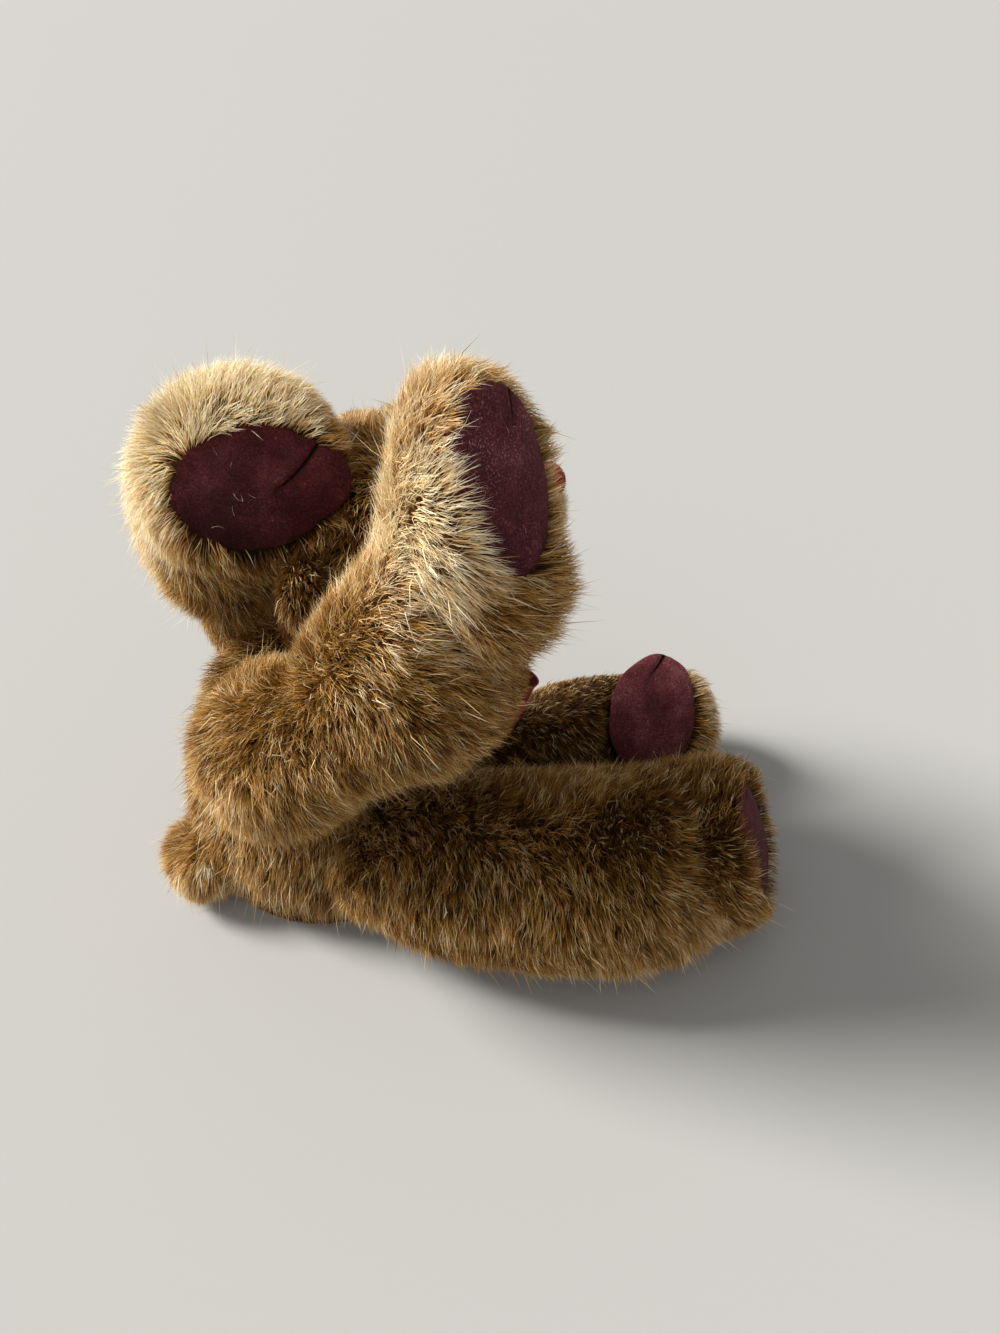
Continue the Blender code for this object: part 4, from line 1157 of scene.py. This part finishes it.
DARTS = {
    "arm_left": ((318, 441), (276, 490)),
    "arm_right": ((517, 392), (512, 428)),
    "leg_left": ((666, 656), (652, 674)),
    "leg_right": ((752, 782), (749, 800)),
}
SOLE_PAINTED_SHADING = {                                        # painted light and shade on each sole: colour factors at its bottom and at its top
    "arm_left": ((0.36, 0.26, 0.28), (1.50, 1.62, 1.45)),
    "arm_right": ((0.92, 0.88, 0.92), (1.95, 2.55, 2.35)),
    "leg_left": ((1.00, 1.10, 0.90), (3.20, 4.60, 4.00)),
    "leg_right": ((0.80, 0.85, 0.85), (1.10, 1.15, 1.10)),
}
BOWS = {"arm_left": 0.0013, "arm_right": 0.0003, "leg_left": 0.0003, "leg_right": 0.0002}
DUST = {"arm_left": 0.35, "arm_right": 0.80, "leg_left": 0.40, "leg_right": 0.30}
soles = {}
for key, spec in LIMBS.items():
    p0, p1 = (on_sole(spec, *q) for q in DARTS[key])
    print("dart", key, [round(x * 1000, 1) for x in (*p0, *p1)])
    pad = {"arm": "paw_pad_", "leg": "foot_pad_"}[key[:3]] + key[4:]
    low, high = SOLE_PAINTED_SHADING[key]
    soles[pad] = sole(pad + "_velvet", key, *spec["sole"], (p0, p1), len(pad) + ord(key[-1]), low, high)

# ------------------------------------------------------------- seat panel
def seat():
    bm = bmesh.new()
    st = [
        (TORSO_C + v(0, 0, 0.0002), UP, FRONT, 0.0400, 0.0400),
        (TORSO_C + v(0, 0, 0.0002), UP, FRONT, 0.0490, 0.0490),
        (TORSO_C + v(0, 0, 0.0016), UP, FRONT, 0.0535, 0.0535),
        (TORSO_C + v(0, 0, SEAT_T + 0.001), UP, FRONT, 0.0500, 0.0500),
        (TORSO_C + v(0, 0, SEAT_T + 0.001), UP, FRONT, 0.0400, 0.0400),
    ]
    ob = tube("seat_panel_velvet", st, sides=28, levels=3)
    co, no, _ = arrays(ob)
    rel = co - (TORSO_C + OFF)
    ang = np.arctan2(rel[:, 1], rel[:, 0])
    rad = np.hypot(rel[:, 0], rel[:, 1])
    edge = np.clip((rad - 0.040) / 0.012, 0, 1)
    co[:, 2] += edge * 0.0004 * np.sin(ang * 41) * (co[:, 2] > 0.0008)
    co[:, :2] *= 1.0
    ob.data.vertices.foreach_set("co", co.ravel())
    ob.data.materials.append(m_velvet)
    ob.data.polygons.foreach_set("use_smooth", [True] * len(ob.data.polygons))
    bm.free()
    return ob


seat_panel = seat()

# ------------------------------------------------------- ribbon, bow, eyes
def strip(paths, name, mat, across=10, thick=0.00042):
    """Ribbons as thin closed solids. Each path is (points, width directions,
    widths, cup, crimps, closed)."""
    V, F, U = [], [], []
    for pts, wd, widths, cup, crimp, closed in paths:
        pts, wd = np.asarray(pts, float), unit(np.asarray(wd, float))
        K = len(pts)
        if closed:
            tan = unit(np.roll(pts, -1, 0) - np.roll(pts, 1, 0))
        else:
            tan = unit(np.gradient(pts, axis=0))
        nor = unit(np.cross(tan, wd))
        run = np.concatenate([[0], np.cumsum(np.linalg.norm(np.diff(pts, axis=0), axis=1))])
        base = len(V)
        for side in (1, -1):
            for k in range(K):
                for j in range(across + 1):
                    x = 2.0 * j / across - 1
                    off = cup[k] * (1 - x * x) + crimp[k] * math.cos(math.pi * 2.5 * x)
                    off += side * thick / 2 * (1.25 if abs(x) > 0.85 else 1.0)
                    V.append(pts[k] + wd[k] * x * widths[k] / 2 + nor[k] * off)
                    U.append(((x + 1) / 2, run[k]))
        W = across + 1
        top, bot = base, base + K * W
        last = K if closed else K - 1
        for k in range(last):
            k2 = (k + 1) % K
            for j in range(across):
                F.append((top + k * W + j, top + k * W + j + 1, top + k2 * W + j + 1, top + k2 * W + j))
                F.append((bot + k * W + j, bot + k2 * W + j, bot + k2 * W + j + 1, bot + k * W + j + 1))
            for j in (0, across):
                q = (top + k * W + j, top + k2 * W + j, bot + k2 * W + j, bot + k * W + j)
                F.append(q if j == 0 else q[::-1])
        if not closed:
            for k in (0, K - 1):
                for j in range(across):
                    q = (top + k * W + j, bot + k * W + j, bot + k * W + j + 1, top + k * W + j + 1)
                    F.append(q if k == 0 else q[::-1])
    ob = mesh_object(name, V, F, mat)
    lay = ob.data.uv_layers.new(name="Cloth")
    idx = np.empty(len(ob.data.loops), np.int64)
    ob.data.loops.foreach_get("vertex_index", idx)
    lay.data.foreach_set("uv", np.array(U)[idx].ravel())
    bm = bmesh.new()
    bm.from_mesh(ob.data)
    bmesh.ops.recalc_face_normals(bm, faces=bm.faces)
    bm.to_mesh(ob.data)
    bm.free()
    return ob


NECK_N = unit(HEAD_C - v(0.004, -0.012, 0.060))
NECK_C = HEAD_C - NECK_N * 0.040
RIBBON_R = 0.0385
LEFTW = unit(v(1, 0, 0) - NECK_N * NECK_N[0])
OUT = np.cross(NECK_N, LEFTW)
OUT = OUT if OUT[1] < 0 else -OUT
ring, wid, dirs, cup, crimp = [], [], [], [], []
for k in range(120):
    a_ = 2 * math.pi * k / 120
    throat = max(0.0, math.cos(a_)) ** 3
    r_ = RIBBON_R - 0.0042 * (1 - throat) + 0.0005 * math.sin(3 * a_ + 1) + 0.0003 * math.sin(11 * a_)
    ring.append(NECK_C + OFF + (OUT * math.cos(a_) + LEFTW * math.sin(a_)) * r_ + NECK_N * 0.0006 * math.sin(2 * a_ + 0.6))
    dirs.append(NECK_N + 0.10 * math.sin(2 * a_) * OUT)
    wid.append(0.0102 - 0.0008 * math.sin(5 * a_) ** 2)
    cup.append(0.0006)
    crimp.append(0.00012 * math.sin(7 * a_))
neck_band = strip([(ring, dirs, wid, cup, crimp, True)], "neck_ribbon_band", m_satin)

KNOT = NECK_C + OUT * (RIBBON_R + 0.0062) + OFF
UPB = unit(NECK_N * 0.9 + v(0, 0, 0.4))
paths = []
for tip, swell, ph in ((v(-0.0335, -0.0200, 0.0030), 0.0052, 0.3), (v(0.0335, -0.0140, 0.0020), 0.0050, 1.7)):
    lat = unit(tip)
    reach = np.linalg.norm(tip)
    deep = unit(np.cross(lat, unit(UPB)))
    deep = deep * np.sign(deep @ OUT)
    pts, wd, ws, cu, cr = [], [], [], [], []
    for k in range(46):
        t = k / 45
        far = math.sin(math.pi * t) ** 0.75
        bulge = math.sin(2 * math.pi * t)
        pts.append(KNOT + lat * (reach * far) + deep * (swell * bulge * (0.9 + 0.1 * far) + 0.0012 * math.cos(math.pi * t))
                   + unit(UPB) * (0.0010 * math.sin(math.pi * t * 2 + ph)) + v(0, -0.0010, 0))
        wd.append(UPB + lat * 0.10 * math.sin(math.pi * t + ph))
        g_ = min(1.0, max(0.0, far / 0.62))
        ws.append(0.0085 + (0.0205 - 0.0085) * g_ ** 0.8)
        cu.append(0.0010 * (1 if t < 0.5 else -1) * far)
        cr.append(0.00110 * (1 - g_) + 0.00012)
    paths.append((pts, wd, ws, cu, cr, False))
for s_, tip, bend_ in ((-1, v(-0.0170, -0.0060, -0.0260), 0.002), (1, v(0.0180, -0.0060, -0.0260), -0.0015)):
    pts, wd, ws, cu, cr = [], [], [], [], []
    for k in range(22):
        t = k / 21
        pts.append(KNOT + tip * t + v(0, -0.0012 - 0.0022 * math.sin(math.pi * t), 0) + v(bend_ * math.sin(2 * math.pi * t), 0, 0))
        wd.append(v(1, -0.15 * s_, -0.35 * s_ * (1 - t) - 0.15 * s_))
        ws.append(0.0065 + 0.0038 * min(1, t * 2.5))
        cu.append(0.0006 * math.sin(3 * t + s_))
        cr.append(0.0006 * (1 - min(1, t * 2.2)))
    paths.append((pts, wd, ws, cu, cr, False))
pts, wd, ws, cu, cr = [], [], [], [], []
for k in range(28):
    a_ = 2 * math.pi * k / 28
    pts.append(KNOT + v(0, -0.0008, 0) + unit(UPB) * 0.0058 * math.cos(a_) + OUT * 0.0046 * math.sin(a_))
    wd.append(LEFTW)
    ws.append(0.0088)
    cu.append(-0.0010)
    cr.append(0.00035)
paths.append((pts, wd, ws, cu, cr, True))
bow = strip(paths, "bow_ribbon", m_satin)


def area_of(ob):
    return sum(f.area for f in ob.data.polygons) / 2


def lathe(name, profile, place, turn, mat, steps=48):
    """A turned solid; the map's u grows from its first point to its last."""
    V, F, U = [], [], []
    K = len(profile)
    for i, (r, y) in enumerate(profile):
        for j in range(steps):
            a_ = 2 * math.pi * j / steps
            V.append(place + turn @ np.array((r * math.cos(a_), -y, r * math.sin(a_))))
            U.append((i / (K - 1), j / steps))
    for i in range(K - 1):
        for j in range(steps):
            k = (j + 1) % steps
            F.append((i * steps + j, i * steps + k, (i + 1) * steps + k, (i + 1) * steps + j))
    F.append(tuple(range(steps))[::-1])
    F.append(tuple((K - 1) * steps + j for j in range(steps)))
    ob = mesh_object(name, V, F, mat)
    lay = ob.data.uv_layers.new(name="Cloth")
    idx = np.empty(len(ob.data.loops), np.int64)
    ob.data.loops.foreach_get("vertex_index", idx)
    lay.data.foreach_set("uv", np.array(U)[idx].ravel())
    bm = bmesh.new()
    bm.from_mesh(ob.data)
    bmesh.ops.recalc_face_normals(bm, faces=bm.faces)
    bm.to_mesh(ob.data)
    bm.free()
    return ob


eyes = {}
R_E = 0.0055
for key, d in zip(("eye_right", "eye_left"), EYES):
    prof = [(max(R_E * math.sin(x), 0.00004), R_E * math.cos(x)) for x in np.linspace(0, math.pi * 0.66, 22)]
    prof += [(0.0034, -0.0034), (0.0024, -0.0042), (0.0022, -0.0062), (0.0022, -0.0095)]
    eyes[key] = lathe(key + "_button", prof, HEAD_C + OFF + d * (HEAD_R - 0.0026), look(d), m_eye)


# ---------------------------------------------------------- lint and fibres
def fibres(name, items, mat, seed):
    """Single stiff fibres: (root, direction, length, width)."""
    rng = np.random.default_rng(seed)
    V, F = [], []
    for root, d, length, width in items:
        d = unit(d)
        bend_ = unit(np.cross(d, rng.normal(0, 1, 3)))
        side = unit(np.cross(d, bend_))
        k0 = len(V)
        n_ = 7
        for i in range(n_):
            t = i / (n_ - 1)
            q = root + d * (length * t) + bend_ * (length * 0.16 * math.sin(math.pi * t * rng.uniform(0.9, 1.1)))
            w_ = width * (1 - 0.75 * t)
            V += [q + side * w_ / 2, q - side * w_ / 2 , q + bend_ * w_ * 0.6]
        for i in range(n_ - 1):
            a0, b0 = k0 + 3 * i, k0 + 3 * (i + 1)
            for j in range(3):
                j2 = (j + 1) % 3
                F.append((a0 + j, a0 + j2, b0 + j2, b0 + j))
        F.append((k0, k0 + 2, k0 + 1))
        F.append((k0 + 3 * (n_ - 1), k0 + 3 * (n_ - 1) + 1, k0 + 3 * (n_ - 1) + 2))
    return mesh_object(name, V, F, mat)


def over(key, u, w, height, du, dw, length, width):
    """A fibre lying at some height over a skin where the photo shows it."""
    q = placed(key, u, w)
    r = ray_of(u, w)
    return (q - r * height, CR * du - CU * dw - r * 0.15, length, width)


rng = np.random.default_rng(77)
pale = [
    over("arm_right", 405, 612, 0.0105, 0.35, 1, 0.0105, 0.00045), over("arm_right", 369, 690, 0.0095, 1, 0.35, 0.0060, 0.00030),
    over("arm_right", 372, 700, 0.0095, 1, 0.1, 0.0065, 0.00030), over("arm_right", 378, 708, 0.0095, 1, -0.2, 0.0050, 0.00028),
    over("arm_right", 318, 725, 0.0095, 1, 0.2, 0.0050, 0.00028), over("arm_right", 272, 755, 0.0095, 1, 0.15, 0.0060, 0.00028),
    over("arm_right", 285, 762, 0.0095, 1, 0.1, 0.0055, 0.00026), over("arm_right", 262, 752, 0.0095, 1, 0.3, 0.0045, 0.00026),
    over("leg_right", 444, 918, 0.0100, 0.15, -1, 0.0040, 0.00070), over("leg_right", 447, 913, 0.0100, -0.3, -1, 0.0028, 0.00060),
]
for _ in range(60):
    u_, w_ = rng.uniform(370, 470), rng.uniform(430, 660)
    pale.append(over("arm_right", u_, w_, rng.uniform(0.007, 0.0105), rng.uniform(0.4, 1), rng.uniform(-1, 0.4), rng.uniform(0.006, 0.010), 0.00020))
for key, count in (("arm_left", 4), ("arm_right", 7), ("leg_left", 2), ("leg_right", 2)):
    c_, n_, m_ = LIMBS[key]["sole"]
    n_, m_, s_ = axes_of(n_, m_)
    for _ in range(count):
        x_, y_ = rng.uniform(-0.7, 0.7) * SOLE_LONG, rng.uniform(-0.6, 0.6) * SOLE_WIDE
        rr = math.hypot(x_ / SOLE_LONG, y_ / SOLE_WIDE)
        ang = rng.uniform(0, 2 * math.pi)
        pale.append((np.asarray(c_) + OFF + m_ * x_ + s_ * y_ + n_ * (0.0049 * (1 - rr ** 2.6) ** 0.8 + 0.0004),
                     m_ * math.cos(ang) + s_ * math.sin(ang) + n_ * 0.12, rng.uniform(0.0014, 0.0032), 0.00010))
for u_, w_, du, dw, ln in ((234, 494, 0.8, 0.7, 0.0036), (212, 528, 1, 0.1, 0.0040), (243, 502, -0.3, -1, 0.0022)):
    c_, n_, m_ = LIMBS["arm_left"]["sole"]
    n_, m_, s_ = axes_of(n_, m_)
    x_, y_ = on_sole(LIMBS["arm_left"], u_, w_)
    pale.append((np.asarray(c_) + OFF + m_ * x_ + s_ * y_ + n_ * 0.0052, CR * du - CU * dw, ln, 0.00016))
lint = fibres("lint_fibres", pale, m_lint, 5)
rust = fibres("rusty_fibres", [
    over("arm_right", rng.uniform(394, 410), rng.uniform(638, 652), rng.uniform(0.008, 0.0100), rng.uniform(0.5, 1), rng.uniform(-0.8, 0.3),
         rng.uniform(0.003, 0.005), 0.00020) for _ in range(8)
], m_rust, 6)

# ------------------------------------------------------------------- floor
fm, nt, out = new_material("pale_floor")
p = node(nt, "ShaderNodeBsdfPrincipled")
p.inputs["Base Color"].default_value = (0.41, 0.413, 0.410, 1)
p.inputs["Roughness"].default_value = 0.9
nt.links.new(p.outputs[0], out.inputs["Surface"])
floor = mesh_object("floor", [(-40, -40, 0), (40, -40, 0), (40, 40, 0), (-40, 40, 0)], [(0, 1, 2, 3)], fm, smooth=False)


# ------------------------------------------------------------------ lights
def sun(name, towards, power, angle, colour=(1, 1, 1)):
    l = bpy.data.lights.new(name, "SUN")
    l.energy, l.angle, l.color = power, math.radians(angle), colour
    ob = bpy.data.objects.new(name, l)
    bpy.context.scene.collection.objects.link(ob)
    ob.rotation_euler = Vector(towards).to_track_quat("Z", "Y").to_euler()
    return ob


sun("key", turned((-0.80, 0.20, 0.60)), 6.2, 20, (1.0, 0.965, 0.90))
sun("fill", turned((-0.2, -0.7, 0.9)), 0.40, 60, (1.0, 0.97, 0.93))
world = bpy.data.worlds.new("studio")
bpy.context.scene.world = world
world.use_nodes = True
world.node_tree.nodes["Background"].inputs[0].default_value = (0.85, 0.83, 0.81, 1)
world.node_tree.nodes["Background"].inputs[1].default_value = 0.38
bpy.context.scene.view_settings.view_transform = "Standard"

# ---------------------------------------------------------------- bindings
for key, ob in skins.items():
    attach(ob, "root")
    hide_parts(key)
for key, ob in fur.items():
    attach(ob, "root")
for key, ob in soles.items():
    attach(ob, "root")
    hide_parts(key)
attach(seat_panel, "root")
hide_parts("seat_panel")
for key, ob in eyes.items():
    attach(ob, "root")
    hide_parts(key)
for ob, cad, flat in ((neck_band, "neck_ribbon", (0.0102, 0.242)), (bow, "bow", (0.0205, 0.240))):
    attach(ob, "root")
    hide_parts(cad)
    print(ob.name, "cloth area", area_of(ob), "of", flat[0] * flat[1])
for ob in (lint, rust):
    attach(ob, "root")
